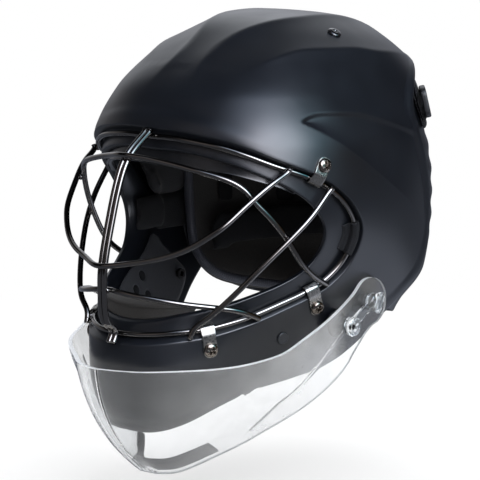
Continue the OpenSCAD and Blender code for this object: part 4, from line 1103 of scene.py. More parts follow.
open_angle = math.asin(3.5 / LINK_END)
ring_angles = np.linspace(open_angle, 2 * math.pi - open_angle, 40)
outline = np.concatenate([ring_points(ring_angles, 0), ring_points(ring_angles - math.pi, SCREW_GAP)])
along = unit(clamp - pivot)
square = np.cross(X, along)
link_x = guard_x + LINK_GAP
slab, slab_faces = rounded_slab(outline, 0, LINK_THICK, 0.6)
link_points = np.array([link_x, *pivot[1:]]) + slab @ np.stack([along, square, X])
for piece in make_pair("guard_link", "bar", link_points, slab_faces, clear_moulded, "clear_fitting"):
    flatten_ends(piece)
print("the links are", SCREW_GAP, "mm between their screws")

# %% [markdown]
# ## The guard's knobs
# A clear knob with a cross recess tightens the clamp, and a knob with a wing tightens the pivot. Both
# are turned, and the wing is a squared oval slab across the top. The clamp's knob is a pan head again,
# larger and with a wider cross.

# %% Knobs
def squared_oval(count, power, wide, high):
    """Closed outline [u, v] that is nearly a rectangle: the cosine and the sine, each raised to a power
    and with its sign kept, times the two half widths."""
    a = np.linspace(0, 2 * np.pi, count, endpoint=False)
    c, s = np.cos(a), np.sin(a)
    return np.stack([wide * np.sign(c) * np.abs(c) ** power, high * np.sign(s) * np.abs(s) ** power], -1)


head_x = link_x + LINK_THICK + 0.05
clamp_head = np.array([head_x, *clamp[1:]])
parts = [pan_head(clamp_head, X, [0, 0.6, 1], radius=7.0, height=4.2, arm=3.7, width=1.1, deep=2.2),
         turned([[0, 0.0], [2, 0.0], [2, -8], [0, -8]], clamp_head, X, Z, 32)]
make_pair("clamp_screw", "knob", *join_grids(parts), clear_moulded, "clear_fitting")

WING_TURN = math.radians(35)
knob_profile = [[0, -8], [1.9, -8], [2, 0], [6.0, 0], [6.4, 0.3], [6.45, 2.6], [6.1, 3.3], [5.2, 3.85],
                [4.4, 4.0], [0, 4.0]]
pivot_head = np.array([head_x, *pivot[1:]])
wing, wing_faces = rounded_slab(squared_oval(64, 0.35, 7.5, 2.5), 3.0, 7.0, 0.8)
wing_along = along * math.cos(WING_TURN) + square * math.sin(WING_TURN)
wing_points = pivot_head + wing @ np.stack([wing_along, np.cross(X, wing_along), X])
parts = [turned(knob_profile, pivot_head, X, Z), (wing_points, wing_faces)]
for piece in make_pair("pivot_screw", "knob", *join_grids(parts), clear_moulded, "clear_fitting"):
    flatten_ends(piece)
print("the knobs stand on x =", round(float(head_x), 1), "mm")

# %% [markdown]
# ## The strip inside the guard
# A black rubber strip is stuck inside the lower edge, so that the sheet doesn't cut. It narrows towards
# its right end, as the picture shows. Its section is a rounded rectangle, whose sides follow the sheet
# from the same formula as the sheet itself, so that it lies on the inner face all the way.

# %% Edge strip
STRIP_WIDE, STRIP_NARROWER, STRIP_THICK = 13, 6, 3
rubber, tree, shader = finish_named("edge_rubber_black", "#17171a", Roughness=0.55)
place = node(tree, "TexCoord").outputs["Object"]
speck = node(tree, "TexNoise", {"Vector": place, "Scale": 1 / (1.2 * MM), "Detail": 3.0}).outputs["Fac"]
steer(tree, shader, speck, colours=("#131316", "#1f1f22"))
strip_at = np.linspace(-3, 3, 120)
tall = float(np.linalg.norm(guard_top[len(guard_top) // 2] - guard_low[len(guard_low) // 2]))
first, last = 1 - (STRIP_WIDE - STRIP_NARROWER * ease(-strip_at / 2.5)) / tall, 0.99
section = [[0.0, 0.35], [0.06, 0.08], [0.2, 0], [0.8, 0], [0.94, 0.08], [1, 0.35], [1, 0.65], [0.94, 0.92],
           [0.8, 1], [0.2, 1], [0.06, 0.92], [0, 0.65]]


def strip_line(share, depth):
    """Line along the strip at a share of its width and of its thickness, 0.5 mm under the inner face."""
    s = first + (last - first) * share
    here, below, above = (sheet_point(strip_at, (s + step)[None])[0] for step in (0, 0.01, -0.01))
    inward = unit(np.cross(below - above, np.gradient(here, axis=0)))
    return here - inward * (SHEET + 0.5 + STRIP_THICK * depth)


strip_grid = end_points(np.stack([strip_line(*corner) for corner in section], 1))
strip = make_piece("guard_edge_strip", strip_grid, grid_faces(*strip_grid.shape[:2], False, True))
dress(strip, rubber, ["guard_strip"], "guard")
print("the strip is", round(run_of(strip_grid[1:-1, 0])[-1]), "mm long")

# %% [markdown]
# ## Cloth and foam
# Webbing is woven: threads about 0.5 mm thick cross over and under, which gives rows of small bumps.
# The pads are covered in a fine knit, and the liner is closed-cell foam with a leathery skin. Threads
# must follow the cloth round a curve, so each piece of webbing carries a map of millimetres along and
# across itself, and two waves on that map make the weave.

# %% Woven, knitted and foamed finishes
def woven(name, dark, light, thread_mm, rough):
    """Two sine waves at right angles on the thread map, multiplied, make the bumps and the colour. The
    real thread is half as wide, which would not show. At a scale of 1 the wave makes 10/pi turns a
    metre, which is nearly pi, so the scale is the turns a metre over pi."""
    material, tree, shader = finish_named(name, dark, Roughness=rough, Sheen_Weight=0.03, Sheen_Roughness=0.5,
                                          Specular_IOR_Level=0.25)
    where = node(tree, "UVMap", uv_map="threads").outputs["UV"]
    wave = {"Vector": where, "Scale": 1 / (2 * thread_mm * MM) / math.pi, "Distortion": 0.6, "Detail": 2.0}
    warp, weft = (node(tree, "TexWave", wave, bands_direction=way).outputs["Fac"] for way in "XY")
    both = node(tree, "Math", {0: warp, 1: weft}, operation="MULTIPLY").outputs[0]
    steer(tree, shader, both, colours=(dark, light), bump=(0.5, 0.3))
    return material


def foamed(name, dark, light, rough, cell_mm, strength, sheen):
    """Skin of foam or knit: cells of that size from a Voronoi pattern make the bumps, and 15 mm clouds
    shift the colour."""
    material, tree, shader = finish_named(name, dark, Roughness=rough, Sheen_Weight=sheen,
                                          Sheen_Roughness=0.5)
    place = node(tree, "TexCoord").outputs["Object"]
    cells = node(tree, "TexVoronoi", {"Vector": place, "Scale": 1000 / cell_mm}).outputs["Distance"]
    cloud = node(tree, "TexNoise", {"Vector": place, "Scale": 1 / (15 * MM), "Detail": 3.0}).outputs["Fac"]
    blend = node(tree, "Math", {0: cells, 1: cloud}, operation="MULTIPLY").outputs[0]
    steer(tree, shader, blend, colours=(dark, light))
    steer(tree, shader, cells, bump=(strength, 0.4))
    return material


webbing = woven("webbing_polyester_black", "#050506", "#121215", 1.0, 0.7)
binding_tape = woven("binding_tape_satin", "#363840", "#52545e", 0.6, 0.4)
black_knit = foamed("knit_polyester_black", "#030304", "#09090b", 0.9, 0.9, 0.5, 0.04)
grey_knit = foamed("knit_polyester_grey", "#1b1b1e", "#2f2f32", 0.85, 0.9, 0.5, 0.1)
grey_foam = foamed("eva_foam_charcoal", "#131417", "#1f2024", 0.7, 1.4, 0.2, 0.05)
dark_foam = foamed("eva_foam_black", "#22201e", "#35322f", 0.65, 1.4, 0.2, 0.05)
skin_foam = foamed("skinned_foam_black", "#141518", "#1c1d20", 0.22, 3.0, 0.04, 0.0)
# The cups in the cheek pads' air holes are near-black. That colour is painted shade for the depth of a hole
# through the foam, and the specks vary it at random.
hole_painted_shade, tree, shader = finish_named("air_hole_painted_shade", "#020203", Roughness=0.9, Specular_IOR_Level=0.2)
place = node(tree, "TexCoord").outputs["Object"]
shade_speck = node(tree, "TexNoise", {"Vector": place, "Scale": 1 / (0.6 * MM)}).outputs["Fac"]
steer(tree, shader, shade_speck, colours=("#010102", "#060607"))
print("made eight cloth and foam finishes")

# %% [markdown]
# ## Forms that follow the shell
# The back plate, its liner, the pads and the straps all lie on the shell's surface, some way under it.
# Each is a rounded patch: an outline that is nearly a rectangle, a thickness that falls towards the
# edge, and a rounded edge. One function makes them all from an azimuth, an elevation and two half
# widths. It also gives the map of millimetres that the weave follows.

# %% Patches on the surface
MEAN_RADIUS, HIGH_UP, VARIED_THICKNESS = 120, 45, 9.0


def superellipse(phi, power):
    """How far a superellipse reaches at the angle phi, as a share of its half widths:
    (|cos|^p + |sin|^p)^(-1/p)."""
    return (np.abs(np.cos(phi)) ** power + np.abs(np.sin(phi)) ** power) ** (-1 / power)


def around_spot(az, el, a, e):
    """Directions at angles a across and e up from a centre: along the azimuth low down, and on great
    circles high up, where the azimuths run together."""
    if abs(el) < HIGH_UP:
        return direction(az + a, el + e)
    c, x, z = direction(az, el), direction(az + 90, 0), direction(az, el + 90)
    a, e = np.radians(a)[..., None], np.radians(e)[..., None]
    return x * np.sin(a) * np.cos(e) + c * np.cos(a) * np.cos(e) + z * np.sin(e)


def patch(spot, power, outer, thick, rise, rings, sides, dent=None):
    """Points, faces and threads of a closed patch. The outline is a superellipse of that power. A profile
    runs from the middle of the outer face over a half circle at the edge to the middle of the inner
    face, which comes nearer by rise times the 6th power of the share. spot is an azimuth, an elevation
    and two half widths, or a function of both shares. thick may depend on the direction too, and dent
    moves the inner face."""
    placed = callable(spot)
    az, el, wide, high = (0, 0, 20, 20) if placed else spot
    edge_width = (VARIED_THICKNESS if callable(thick) else thick) / 2
    bend = edge_width / (math.radians(min(wide, high)) * MEAN_RADIUS)
    flat_shares = np.linspace(0, 1, rings) ** 0.85 * (1 - bend)
    q = np.radians(np.linspace(0, 180, 9))[1:-1]
    t = np.concatenate([flat_shares, 1 - bend + bend * np.sin(q), flat_shares[::-1]])
    deep = np.concatenate([np.zeros(rings), (1 - np.cos(q)) / 2, np.ones(rings)])
    phi = np.linspace(0, 2 * np.pi, sides, endpoint=False)
    corner = superellipse(phi, power)
    a = t[:, None] * (wide * np.cos(phi) * corner)
    e = t[:, None] * (high * np.sin(phi) * corner)
    d = unit(spot(a / wide, e / high) if placed else around_spot(az, el, a, e))
    depth = (thick(d) if callable(thick) else thick) * (1 - rise * t[:, None] ** 6) * deep[:, None]
    if dent is not None:
        depth = depth - dent(d) * ease((deep[:, None] - 0.5) * 4)
    points = surf(d, outer(d) - depth)
    shrink = math.cos(math.radians(el)) if abs(el) < HIGH_UP else 1.0
    threads = np.stack([np.radians(a) * MEAN_RADIUS * shrink, np.radians(e) * MEAN_RADIUS], -1)
    return points, grid_faces(len(t), sides, False, True), threads


print("a degree at the mean radius is", round(math.radians(1) * MEAN_RADIUS, 1), "mm")

# %% [markdown]
# ## The back plate
# The back plate closes the shell behind. It is moulded from the same plastic and slides inside the
# shell's rear edge. Low ribs run across it, which stiffen a thin wall as corrugation does. Its outer
# face is a distance from the shell's surface, and the straps, the liner and the pad take theirs from
# it.

# %% The back plate
PLATE_SPOT = (180, 3, 76, 45)
RIB_WAVE, RIB_PITCH = 0.5, 17


def plate_out(d):
    """Distance outside the surface of the back plate's outer face: 6.5 mm under it, 7 mm further out
    behind the shell's rear edge and below its crown, drawn in by 14 mm towards the neck, and with a
    shoulder of 2.5 mm under each strap."""
    y, z = d[..., 1], d[..., 2]
    shoulder = np.exp(-((np.abs(d[..., 0]) - 0.56) / 0.14) ** 2 - ((z - 0.5) / 0.13) ** 2)
    behind = ease((y - 0.6) / 0.25) * ease((0.72 - z) / 0.12)
    return 2.5 * shoulder - 6.5 + 7 * behind - 14 * ease((-0.4 - z) / 0.3)


def ribbed_out(d):
    """The plate's outer face with low ribs across it: plate_out + h (wave - 1), where the waves are 2 h
    high and fade at both ends."""
    z = d[..., 2] * TO_BACK
    wave = np.cos(z * 2 * np.pi / RIB_PITCH) * ease((z + 40) / 20) * ease((60 - z) / 20)
    return plate_out(d) + RIB_WAVE * (wave - 1)


plate = make_piece("back_plate_moulding", *patch(PLATE_SPOT, 5, ribbed_out, 2.8, 0.2, 60, 240))
dress(plate, shell_coat, ["back_plate"], "back")
print("the back plate has", len(plate.data.polygons), "faces")

# %% [markdown]
# ## The liner of the back plate
# A sheet of foam 12 mm thick lies inside the plate, with a satin tape bound round its edge. The tape
# is a round bar along the liner's outline, because a bound edge bulges over the foam.

# %% The liner and its binding
BINDING_POINTS, BINDING_SIDES = 400, 16


def liner_out(d):
    """Distance outside the surface of the liner's outer face, 3.85 mm under the plate's outer one."""
    return plate_out(d) - 3.85


liner = make_piece("back_liner_foam", *patch(PLATE_SPOT, 8, liner_out, 12, 0.25, 50, 240))
dress(liner, dark_foam, ["back_liner"], "back")
phi = np.linspace(0, 2 * np.pi, BINDING_POINTS, endpoint=False)
corner = superellipse(phi, 8)
d = around_spot(*PLATE_SPOT[:2], 74.6 * np.cos(phi) * corner, 43.8 * np.sin(phi) * corner)
binding_path = surf(d, liner_out(d) - 7.2)
points, faces = round_bar(binding_path, 3.4, True, BINDING_SIDES)
threads = np.stack(np.broadcast_arrays(np.arange(BINDING_POINTS)[:, None] * 1.6,
                                       np.linspace(0, 20, BINDING_SIDES)[None]), -1)
binding = make_piece("back_liner_binding", points, faces, threads)
dress(binding, binding_tape, (), "back")
print("the binding is", round(run_of(binding_path)[-1]), "mm long")

# %% [markdown]
# ## Cheek pads
# A foam pad lines each side of the jaw, from the seat's edge down to the shell's lower edge, with
# three round holes for air. It fills the room between two rings of the shell, so a mix of them places
# it. The holes are dents in its inner face. A near-black cup in each paints the shade of a deep hole
# and gives it a crisp edge.

# %% Cheek pads
HOLE_RADIUS, HOLE_DEPTH, UNDER_WALL, BEHIND_SEAT = 3.9, 1.4, 5.75, 8
face_centre = direction(0, -5)
low_edge, high_edge = off_rear(5.0), off_seat(-3.0)
hole_spots = [(74, -33), (69.3, -36.5), (76.5, -39.5)]
hole_centres = surf(direction(*np.array(hole_spots).T), -20)


def pad_out(d):
    """Distance outside the surface of a pad's outer face: under the wall, and 8 mm deeper where the
    cage's seat is behind it, told by the angle between d and the face's centre against that of the
    nearest point of the edge."""
    flat = d.reshape(-1, 3)
    coarse = seat_ring[::3]
    near = coarse[(flat @ coarse.T).argmax(1)]
    angle, edge_angle = (np.arccos(np.clip(p @ face_centre, -1, 1)) for p in (flat, near))
    beyond = ((angle - edge_angle) * HALF_WIDTH).reshape(d.shape[:-1])
    return -UNDER_WALL - BEHIND_SEAT * (1 - ease((beyond - 6) / 4))


def ring_at(ring, station):
    """Directions of a ring at stations that need not be whole: a straight mix of the two nearest."""
    at = np.mod(np.asarray(station) * SPAN, len(ring))
    i = at.astype(int)
    share = (at - i)[..., None]
    return unit(ring[i] * (1 - share) + ring[(i + 1) % len(ring)] * share)


def jaw_place(a, e):
    """Directions over the jaw for shares from -1 to 1 along it and up it."""
    return slerp(ring_at(low_edge, 5.85 + 2.25 * a), ring_at(high_edge, 6.1 + 2.2 * a), (e + 1) / 2)


def jaw_thickness(d):
    """Thickness of the cheek pad: down to 15.8 mm under the surface, but 1.6 mm at the least."""
    return np.maximum(pad_out(d) + 15.8, 1.6)


def air_holes(d):
    """Depth of the air holes, with a wall that slopes over 2.4 mm round the radius."""
    gaps = np.linalg.norm(surf(d, -20)[..., None, :] - hole_centres, axis=-1).min(-1)
    return HOLE_DEPTH * ease((HOLE_RADIUS + 1.2 - gaps) / 2.4)


points, faces, threads = patch(jaw_place, 7, pad_out, jaw_thickness, 0.1, 60, 240, air_holes)
make_pair("cheek_pad", "form", points, faces, grey_foam, "foam", threads, fill=0.9)
# Each cup's near-black finish is painted shade in its hole.
cup = [[0, 0.9], [2.8, 0.8], [3.5, 0.4], [HOLE_RADIUS, -0.4], [HOLE_RADIUS, -1.2], [0, -1.2]]
cups = [turned(cup, surf(direction(*spot), -15.1), -normal(direction(*spot)), Z, 32) for spot in hole_spots]
make_pair("cheek_pad", "holes", *join_grids(cups), hole_painted_shade, "foam", stands=False)
print("each cheek pad has", len(cups), "air holes")

# %% [markdown]
# ## Pads at the ears, the temples and the crown
# The ear and temple pads are covered in knit over soft foam, and the crown's two pads are bare foam.
# All are patches under the wall. The soft ones are made a little too thin here, because a later cell
# blows them up.

# %% Ear, temple and crown pads
def side_out(d):
    """Distance outside the surface of a side pad's outer face, 1.05 mm nearer the wall than foam."""
    return pad_out(d) + 1.05


soft_pads = []
for stem, spot, power, thick, rise, knit, slot in (
        ("ear_pad", (91, -11.5, 18.5, 7.5), 8, 8, 0.3, black_knit, "black_pad"),
        ("temple_pad", (95, 10, 15.5, 16), 3, 11, 0.4, grey_knit, "grey_pad")):
    points, faces, threads = patch(spot, power, side_out, thick, rise, 26, 120)
    soft_pads += make_pair(stem, "form", points, faces, knit, slot, threads, fill=0.6)
for name, spot in (("crown_pad_front", (0, 53, 35, 10.5)), ("crown_pad_middle", (0, 90, 19, 22))):
    piece = make_piece(name + "_form", *patch(spot, 3.5, pad_out, 13, 0.4, 26, 120))
    dress(piece, grey_foam, [name])
print("made", len(soft_pads), "soft pads at the sides and 2 foam ones under the crown")

# %% [markdown]
# ## Pads over the brow and at the chin
# Two foam pads lie along the edge of the face opening, behind the seat, and show a little inside it.
# They follow the hole's ring. The one over the brow has a smooth skin, which shines a little.

# %% Brow and chin pads
SEAT_BACK = 12.35


def hole_pad(mid, reach, behind, show, thick):
    """Pad along the hole in the seat, from behind mm behind the hole's edge to show mm inside it in the
    middle. Its section is half a superellipse, and it tapers to both ends."""
    at = np.linspace(-reach, reach, 140)
    seat, hole = ring_at(seat_ring, (mid + at) / 2), ring_at(hole_ring, (mid + at) / 2)
    wide = np.interp(np.mod((mid + at) * SPAN / 2, len(to_hole)), np.arange(len(to_hole)), to_hole)
    full = 1 - (at / (reach + 1)) ** 2
    q = np.linspace(0, 2 * np.pi, 40, endpoint=False)
    along_pad = (1 - np.cos(q)) / 2
    deep = np.where(np.sin(q) > 0, np.abs(np.sin(q)) ** 0.6, 0.05 * np.abs(np.sin(q)))
    mm = -behind + along_pad[:, None] * (behind + show * full)[None]
    d = slerp(seat[None], hole[None], 1 + mm / wide[None])
    return surf(d, -SEAT_BACK - thick * deep[:, None] * (0.35 + 0.65 * full)[None]).transpose(1, 0, 2)


for name, measures, foam in (("brow_pad", (38, 13, 4, 11, 9), skin_foam),
                             ("chin_pad", (0, 4.4, 3, 9, 12), dark_foam)):
    grid = end_points(hole_pad(*measures))
    piece = make_piece(name + "_form", grid, grid_faces(*grid.shape[:2], False, True))
    dress(piece, foam, [name])
print("made the brow pad and the chin pad")

# %% [markdown]
# ## The nape pad
# A long soft pad hangs on straps inside the liner, where the neck meets the head. It arches up in the
# middle, and its ends are taller, so a function of both shares places it.

# %% Nape pad
def nape_out(d):
    """Distance outside the surface of the nape pad's outer face, 15.5 mm inside the liner's."""
    return liner_out(d) - 15.5


def nape_place(a, e):
    """Directions behind the nape for shares from -1 to 1: the half height grows from 6 to 8.8 degrees
    with a^2, and the middle line falls by 9.5 degrees a^2 towards the ends."""
    return around_spot(180, -20, 69 * a, (6 + 2.8 * a ** 2) * e + 4.5 - 9.5 * a ** 2)


nape = make_piece("nape_pad_form", *patch(nape_place, 9, nape_out, 8, 0.35, 30, 200))
soft_pads.append(dress(nape, black_knit, ["nape_pad"], "back"))
print("the soft pads are", ", ".join(pad.name for pad in soft_pads))

# %% [markdown]
# ## Stuffing the soft pads
# A sewn pad is a bag of knit that its foam pushes outwards, so it swells in the middle and draws in
# along its edges. A cloth simulation does the same with a little air pressure. It needs an even mesh,
# which a voxel remesh gives. The side on the wall is glued there, so its points stay where they are.

# %% Cloth under pressure
VOXEL, PRESSURE, CAP, FRAMES, FACES_WALL = 4.2 * MM, 4.0, 5 * MM, 20, 0.3


def evaluated_mesh(piece):
    """The piece's mesh as its modifiers leave it."""
    return bpy.data.meshes.new_from_object(piece.evaluated_get(bpy.context.evaluated_depsgraph_get()))


def vectors_of(mesh, kind):
    """The places ("co") or the normals ("normal") of a mesh's points as an array, in metres."""
    flat = np.empty(len(mesh.vertices) * 3, np.float32)
    mesh.vertices.foreach_get(kind, flat)
    return flat.reshape(-1, 3)


def blow_up(piece):
    """Remeshes the pad, blows it up as cloth for some frames, and moves each point the way the cloth
    went, but by CAP at the most. Points whose normal faces out of the head are held."""
    piece.modifiers.new("even", "REMESH").voxel_size = VOXEL
    even = evaluated_mesh(piece)
    piece.modifiers.clear()
    piece.data = even
    even.polygons.foreach_set("use_smooth", np.ones(len(even.polygons), bool))
    start = vectors_of(even, "co")
    outwards = (vectors_of(even, "normal") * unit(start)).sum(-1)
    glued = np.nonzero(outwards > FACES_WALL)[0]
    piece.vertex_groups.new(name="glued").add(glued.tolist(), 1.0, "REPLACE")
    cloth = piece.modifiers.new("cloth", "CLOTH")
    cloth.settings.vertex_group_mass = "glued"
    cloth.settings.use_pressure, cloth.settings.uniform_pressure_force = True, PRESSURE
    cloth.settings.effector_weights.gravity = 0.0
    for frame_number in range(1, FRAMES + 1):
        scene.frame_set(frame_number)
    step = vectors_of(evaluated_mesh(piece), "co") - start
    piece.modifiers.clear()
    scene.frame_set(1)
    size = np.maximum(np.linalg.norm(step, axis=-1, keepdims=True), 1e-9)
    even.vertices.foreach_set("co", (start + step * np.minimum(1.0, CAP / size)).ravel())
    even.update()
    smoother = piece.modifiers.new("rounder", "SUBSURF")
    smoother.levels = smoother.render_levels = 1
    return float(np.minimum(size, CAP).max())


print("the pads swell by up to", [round(blow_up(pad) * 1000, 1) for pad in soft_pads], "mm")

# %% [markdown]
# ## Loops round the rim wire
# A loop of webbing ties the cage's rim wire to the shell at each temple. It wraps the wire and runs
# inwards over the floor of the seat. Webbing is modelled directly, because a simulation on a coarse
# grid would lose its crisp edges.

# %% Loops round the rim wire
LOOP_HALF, LOOP_FIRST, LOOP_LAST = 0.6, 103, 124
loop_tail = [[8.6, -5.6], [7.6, -3.6], [6.4, -2.5], [5.0, -2.1], [3.9, -1.7]]


def wrapped_band(path, first, last):
    """A band of webbing that wraps the wire between two points of its path and runs inwards over the floor
    of the seat. Its section is a smooth line, given by the distance inwards and outwards from the wire,
    with half its thickness on both sides. The ends of the band are closed with faces across the section."""
    i = np.arange(first, last + 1)
    t = unit(path[i + 1] - path[i - 1])
    out = unit(path[i] - t * (path[i] * t).sum(-1, keepdims=True))
    inward = np.cross(t, out)
    inward *= np.sign((inward * (surf(face_centre) - path[i])).sum(-1, keepdims=True))
    round_wire = [[2.9 * c, 2.9 * s] for s, c in arc(-20, 262, 20)]
    line = catmull(loop_tail + round_wire, 4)
    ahead = unit(np.gradient(line, axis=0))
    aside = np.stack([-ahead[:, 1], ahead[:, 0]], -1) * LOOP_HALF
    section = np.concatenate([line + aside, (line - aside)[::-1]])[None]
    swell = 1 + 0.05 * np.sin(np.linspace(0, np.pi, len(i)))[:, None, None]
    grid = path[i][:, None] + (section[..., :1] * inward[:, None] + section[..., 1:] * out[:, None]) * swell
    n = len(line)
    k = np.arange(n - 1)
    cap = np.stack([k, k + 1, 2 * n - 2 - k, 2 * n - 1 - k], -1)
    faces = np.concatenate([grid_faces(len(i), 2 * n, False, True), cap, cap + (len(i) - 1) * 2 * n])
    across = run_of(line)
    along = np.arange(len(i)) * float(np.linalg.norm(path[i[1]] - path[i[0]]))
    threads = np.stack(np.broadcast_arrays(along[:, None], np.concatenate([across, across[::-1]])[None]), -1)
    return grid, faces, threads


points, faces, threads = wrapped_band(rim_path, LOOP_FIRST, LOOP_LAST)
make_pair("rim_loop", "band", points, faces, webbing, "webbing", threads)
print("a loop is", round(float(threads[..., 0].max())), "mm wide, and its webbing is",
      round(float(threads[..., 1].max())), "mm long")

# %% [markdown]
# ## Straps at the back
# Four straps hold the nape pad, two by two. On each side one more strap comes from under the shell's
# rear edge, passes under a buckle and lies on the back plate. These are patches too, thin and long, so
# that they bend with the plate, and their weave follows them.

# %% Nape straps and rear webbing
NAPE_STRAPS = ((123, 0.4), (148, 2.3), (212, 2.3), (237, 0.4))


def join_webbing(parts):
    """Points, faces and threads of several patches as one mesh."""
    points, faces = join_grids([part[:2] for part in parts])
    return points, faces, np.concatenate([part[2].reshape(-1, 2) for part in parts])


def strap_out(gap):
    """The distance outside the surface of a nape strap's outer face, as a function of the direction:
    12 mm and a gap inside the liner's."""
    return lambda d: liner_out(d) - 12 - gap


def over_plate(d):
    """Distance outside the surface of a strap that lies on the plate."""
    return plate_out(d) + 2.2


def tail_out(d):
    """Distance outside the surface of the strap's upper part: 4.5 mm under it beneath the shell's edge,
    then a smooth step out to 4.1 mm over the plate, under the buckle."""
    return -4.5 + (plate_out(d) + 8.6) * ease((0.658 - d[..., 2]) / 0.085)


straps = [patch((az, 3, 3.4, 13), 8, strap_out(gap), 1.6, 0.1, 10, 64) for az, gap in NAPE_STRAPS]
dress(make_piece("nape_straps_webbing", *join_webbing(straps)), webbing, ["nape_straps"], "back")
bands = [patch((142, 33.6, 5.2, 10.2), 8, tail_out, 1.4, 0.05, 40, 120),
         patch((143, 31, 5, 10), 8, over_plate, 1.6, 0.05, 24, 100)]
points, faces, threads = join_webbing(bands)
make_pair("rear_webbing", "band", points, faces, webbing, "webbing", threads, "back")
print("made", len(straps), "nape straps and the webbing of both sides")

# %% [markdown]
# ## Buckles
# The buckle is a squared ring with two bars across it, moulded from acetal, which is smoother and
# blacker than the shell. Its bars are flat, so their section is a squared oval. The ring lies in a
# plane over the strap, 6.5 mm outside the plate, and the bars go straight across.

# %% Buckles
BUCKLE_OUT, BUCKLE_MIDDLE, BAR_OFFSET = 4.3, 2.2, 3.2
acetal = soft_touch("acetal_buckle_black", "#08080a", "#0e0e10", 0.5)
d = direction(141, 29)
facing = normal(d)
middle = surf(d) + facing * (float(plate_out(d)) + BUCKLE_OUT + BUCKLE_MIDDLE)
u = unit(Z - facing * facing[2])
v = np.cross(facing, u)


def flat_bar(path, closed, wide, tall):
    """A bar with a squared, rounded section carried along a path that lies in the buckle's plane."""
    t = unit(np.roll(path, -1, 0) - np.roll(path, 1, 0)) if closed else unit(np.gradient(path, axis=0))
    section = squared_oval(24, 0.5, wide, tall)[None]
    grid = path[:, None] + np.cross(t, facing)[:, None] * section[..., :1] + facing * section[..., 1:]
    grid = grid if closed else end_points(grid)
    return grid, grid_faces(*grid.shape[:2], closed, True)


buckle_ring = middle + squared_oval(96, 0.35, 9.2, 11.7) @ np.stack([u, v])
across = v * np.linspace(-11, 11, 12)[:, None]
bars = [flat_bar(middle + u * x + across, False, 1.3, 1.7) for x in (-BAR_OFFSET, BAR_OFFSET)]
points, faces = join_grids([flat_bar(buckle_ring, True, 1.9, 2.2)] + bars)
make_pair("rear_buckle", "frame", points, faces, acetal, "buckle", body="back")
print("made two buckles with", len(bars), "bars each")

# %% [markdown]
# ## Lamps
# The picture has soft light from above and from both sides. Four large area lamps give it. Mirrors
# don't see them, because a lamp's sharp square in polished steel would give the studio away.

# %% Lamps
def softbox(name, az, el, distance, size, power):
    """A lamp of that width and height in metres and power in watts, in the direction az, el, aimed at the
    head and not seen in mirrors."""
    data = bpy.data.lights.new(name, "AREA")
    data.shape = "RECTANGLE"
    data.size, data.size_y, data.energy = *size, power
    lamp = bpy.data.objects.new(name, data)
    lamp.location = direction(az, el) * distance
    lamp.rotation_euler = (math.pi / 2 - math.radians(el), 0, math.radians(az))
    lamp.visible_glossy = False
    scene.collection.objects.link(lamp)
    return lamp


lamps = [softbox("softbox_left", 68, 35, 1.6, (1.2, 1.0), 14),
         softbox("softbox_top", 200, 75, 1.6, (1.2, 1.2), 22),
         softbox("softbox_front", -30, 30, 1.8, (1.0, 1.0), 12),
         softbox("softbox_rear", 165, 40, 1.8, (1.0, 1.0), 10)]
print("the lamps give", sum(lamp.data.energy for lamp in lamps), "watts")

# %% [markdown]
# ## The world
# The room is white for the camera and for what shows through clear plastic, and pale grey where it only
# lights. A mirror needs something darker too, or steel looks like white paint and a matt black shell
# looks grey. So mirrors see a nearly black room with soft round patches of light in it. The strongest
# one, up at the wearer's left, is the broad glow on the temple.

# %% The world
PATCH_RADIUS = math.radians(30)
patches_of_light = [
    (70, 28, (11.4, 11.4, 12.6)), (60, 52, (1.7, 2.05, 2.7)), (90, 28, (0.2, 1.3, 1.7)),
    (110, 28, (0.12, 0.1, 0.08)), (-130, 28, (0.75, 0.78, 0.82)), (-155, 28, (0.42, 0.44, 0.47)),
    (90, 52, (0.1, 0.1, 0.1)), (0, 28, (0.32, 0.29, 0.29)), (-90, 3, (0.28, 0.27, 0.27)),
    (-120, 3, (0.3, 0.3, 0.32)), (-150, 3, (0.19, 0.19, 0.23)), (120, 3, (0.12, 0.07, 0.02))]
world = bpy.data.worlds.new("studio")
scene.world = world
world.use_nodes = True
tree = world.node_tree
heading = node(tree, "TexCoord").outputs["Generated"]
mirrored = (0.012, 0.012, 0.014)
for az, el, colour in patches_of_light:
    near = node(tree, "VectorMath", {0: heading, 1: tuple(direction(az, el))}, operation="DOT_PRODUCT")
    share = node(tree, "MapRange", {"Value": near.outputs["Value"], "From Min": math.cos(PATCH_RADIUS),
                                    "From Max": 1.0}, interpolation_type="SMOOTHSTEP").outputs["Result"]
    lit = node(tree, "VectorMath", {0: colour, "Scale": share}, operation="SCALE").outputs["Vector"]
    mirrored = node(tree, "VectorMath", {0: mirrored, 1: lit}, operation="ADD").outputs["Vector"]
ray = node(tree, "LightPath").outputs
seen = node(tree, "Math", {0: ray["Is Camera Ray"], 1: ray["Is Transmission Ray"]}, operation="MAXIMUM")
unseen = node(tree, "Mix", {0: ray["Is Glossy Ray"], 6: linear("#9a9ca0"), 7: mirrored}, data_type="RGBA")
sky = node(tree, "Mix", {0: seen.outputs[0], 6: unseen.outputs[2], 7: (1.0, 1.0, 1.0, 1.0)}, data_type="RGBA")
tree.links.new(sky.outputs[2], tree.nodes["Background"].inputs["Color"])
scene.view_settings.view_transform = "Standard"
print("mirrors see", len(patches_of_light), "patches of light")

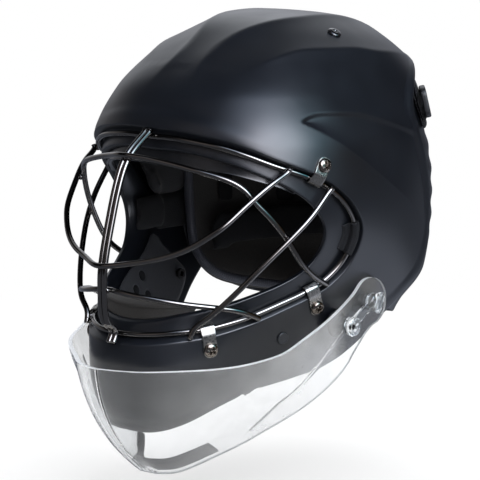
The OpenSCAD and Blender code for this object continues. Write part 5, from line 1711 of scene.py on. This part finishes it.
# %% [markdown]
# ## The floor
# The floor is pale paint that keeps the helmet's soft shadow and turns to plain white further out, so
# that it has no horizon. It lies 14 mm under the helmet, so that the guard clears it at the low end of
# its swing. Mirrors see it as bluish light, strongest on one spot behind the wearer's left, which gives
# the steel and the shell their lower reflections.

# %% The floor
CLEARANCE, FLOOR_HALF = 14, 6000
floor_z = float(cad_box[0][2]) / MM - CLEARANCE
corners = np.array([[-1, -1], [1, -1], [1, 1], [-1, 1]]) * FLOOR_HALF
floor = make_piece("floor", np.concatenate([corners, np.full((4, 1), floor_z)], 1), np.array([[0, 1, 2, 3]]))
pale, tree, shader = finish_named("floor_pale_paint", "#f2f2f2", Roughness=0.9, Specular_IOR_Level=0.1)
place = node(tree, "TexCoord").outputs["Object"]
speck = node(tree, "TexNoise", {"Vector": place, "Scale": 4.0}).outputs["Fac"]
steer(tree, shader, speck, colours=("#f0f0f0", "#f5f5f5"))
away = node(tree, "VectorMath", {0: place}, operation="LENGTH").outputs["Value"]
far = node(tree, "MapRange", {"Value": away, "From Min": 0.35, "From Max": 0.8, "To Min": 0.7})
glow = node(tree, "Emission", {"Color": (1.0, 1.0, 1.0, 1.0), "Strength": 1.0}).outputs[0]
painted = node(tree, "MixShader", {0: far.outputs["Result"], 1: shader.outputs[0], 2: glow}).outputs[0]
patch_centre = (0.25, 0.2, floor_z * MM)
from_patch = node(tree, "VectorMath", {0: place, 1: patch_centre}, operation="DISTANCE").outputs["Value"]
strength = node(tree, "MapRange", {"Value": from_patch, "From Min": 0.12, "From Max": 0.3, "To Min": 1.3,
                                   "To Max": 0.2}, interpolation_type="SMOOTHSTEP").outputs["Result"]
mirror_glow = node(tree, "Emission", {"Color": linear("#e4ecff"), "Strength": strength}).outputs[0]
ray = node(tree, "LightPath").outputs
in_mirror = node(tree, "Math", {0: ray["Is Glossy Ray"], 1: ray["Is Transmission Ray"]}, operation="SUBTRACT",
                 use_clamp=True).outputs[0]
surface = node(tree, "MixShader", {0: in_mirror, 1: painted, 2: mirror_glow}).outputs[0]
tree.links.new(surface, tree.nodes["Material Output"].inputs["Surface"])
floor.data.materials.append(pale)
print("the floor lies at z =", round(floor_z, 1), "mm")
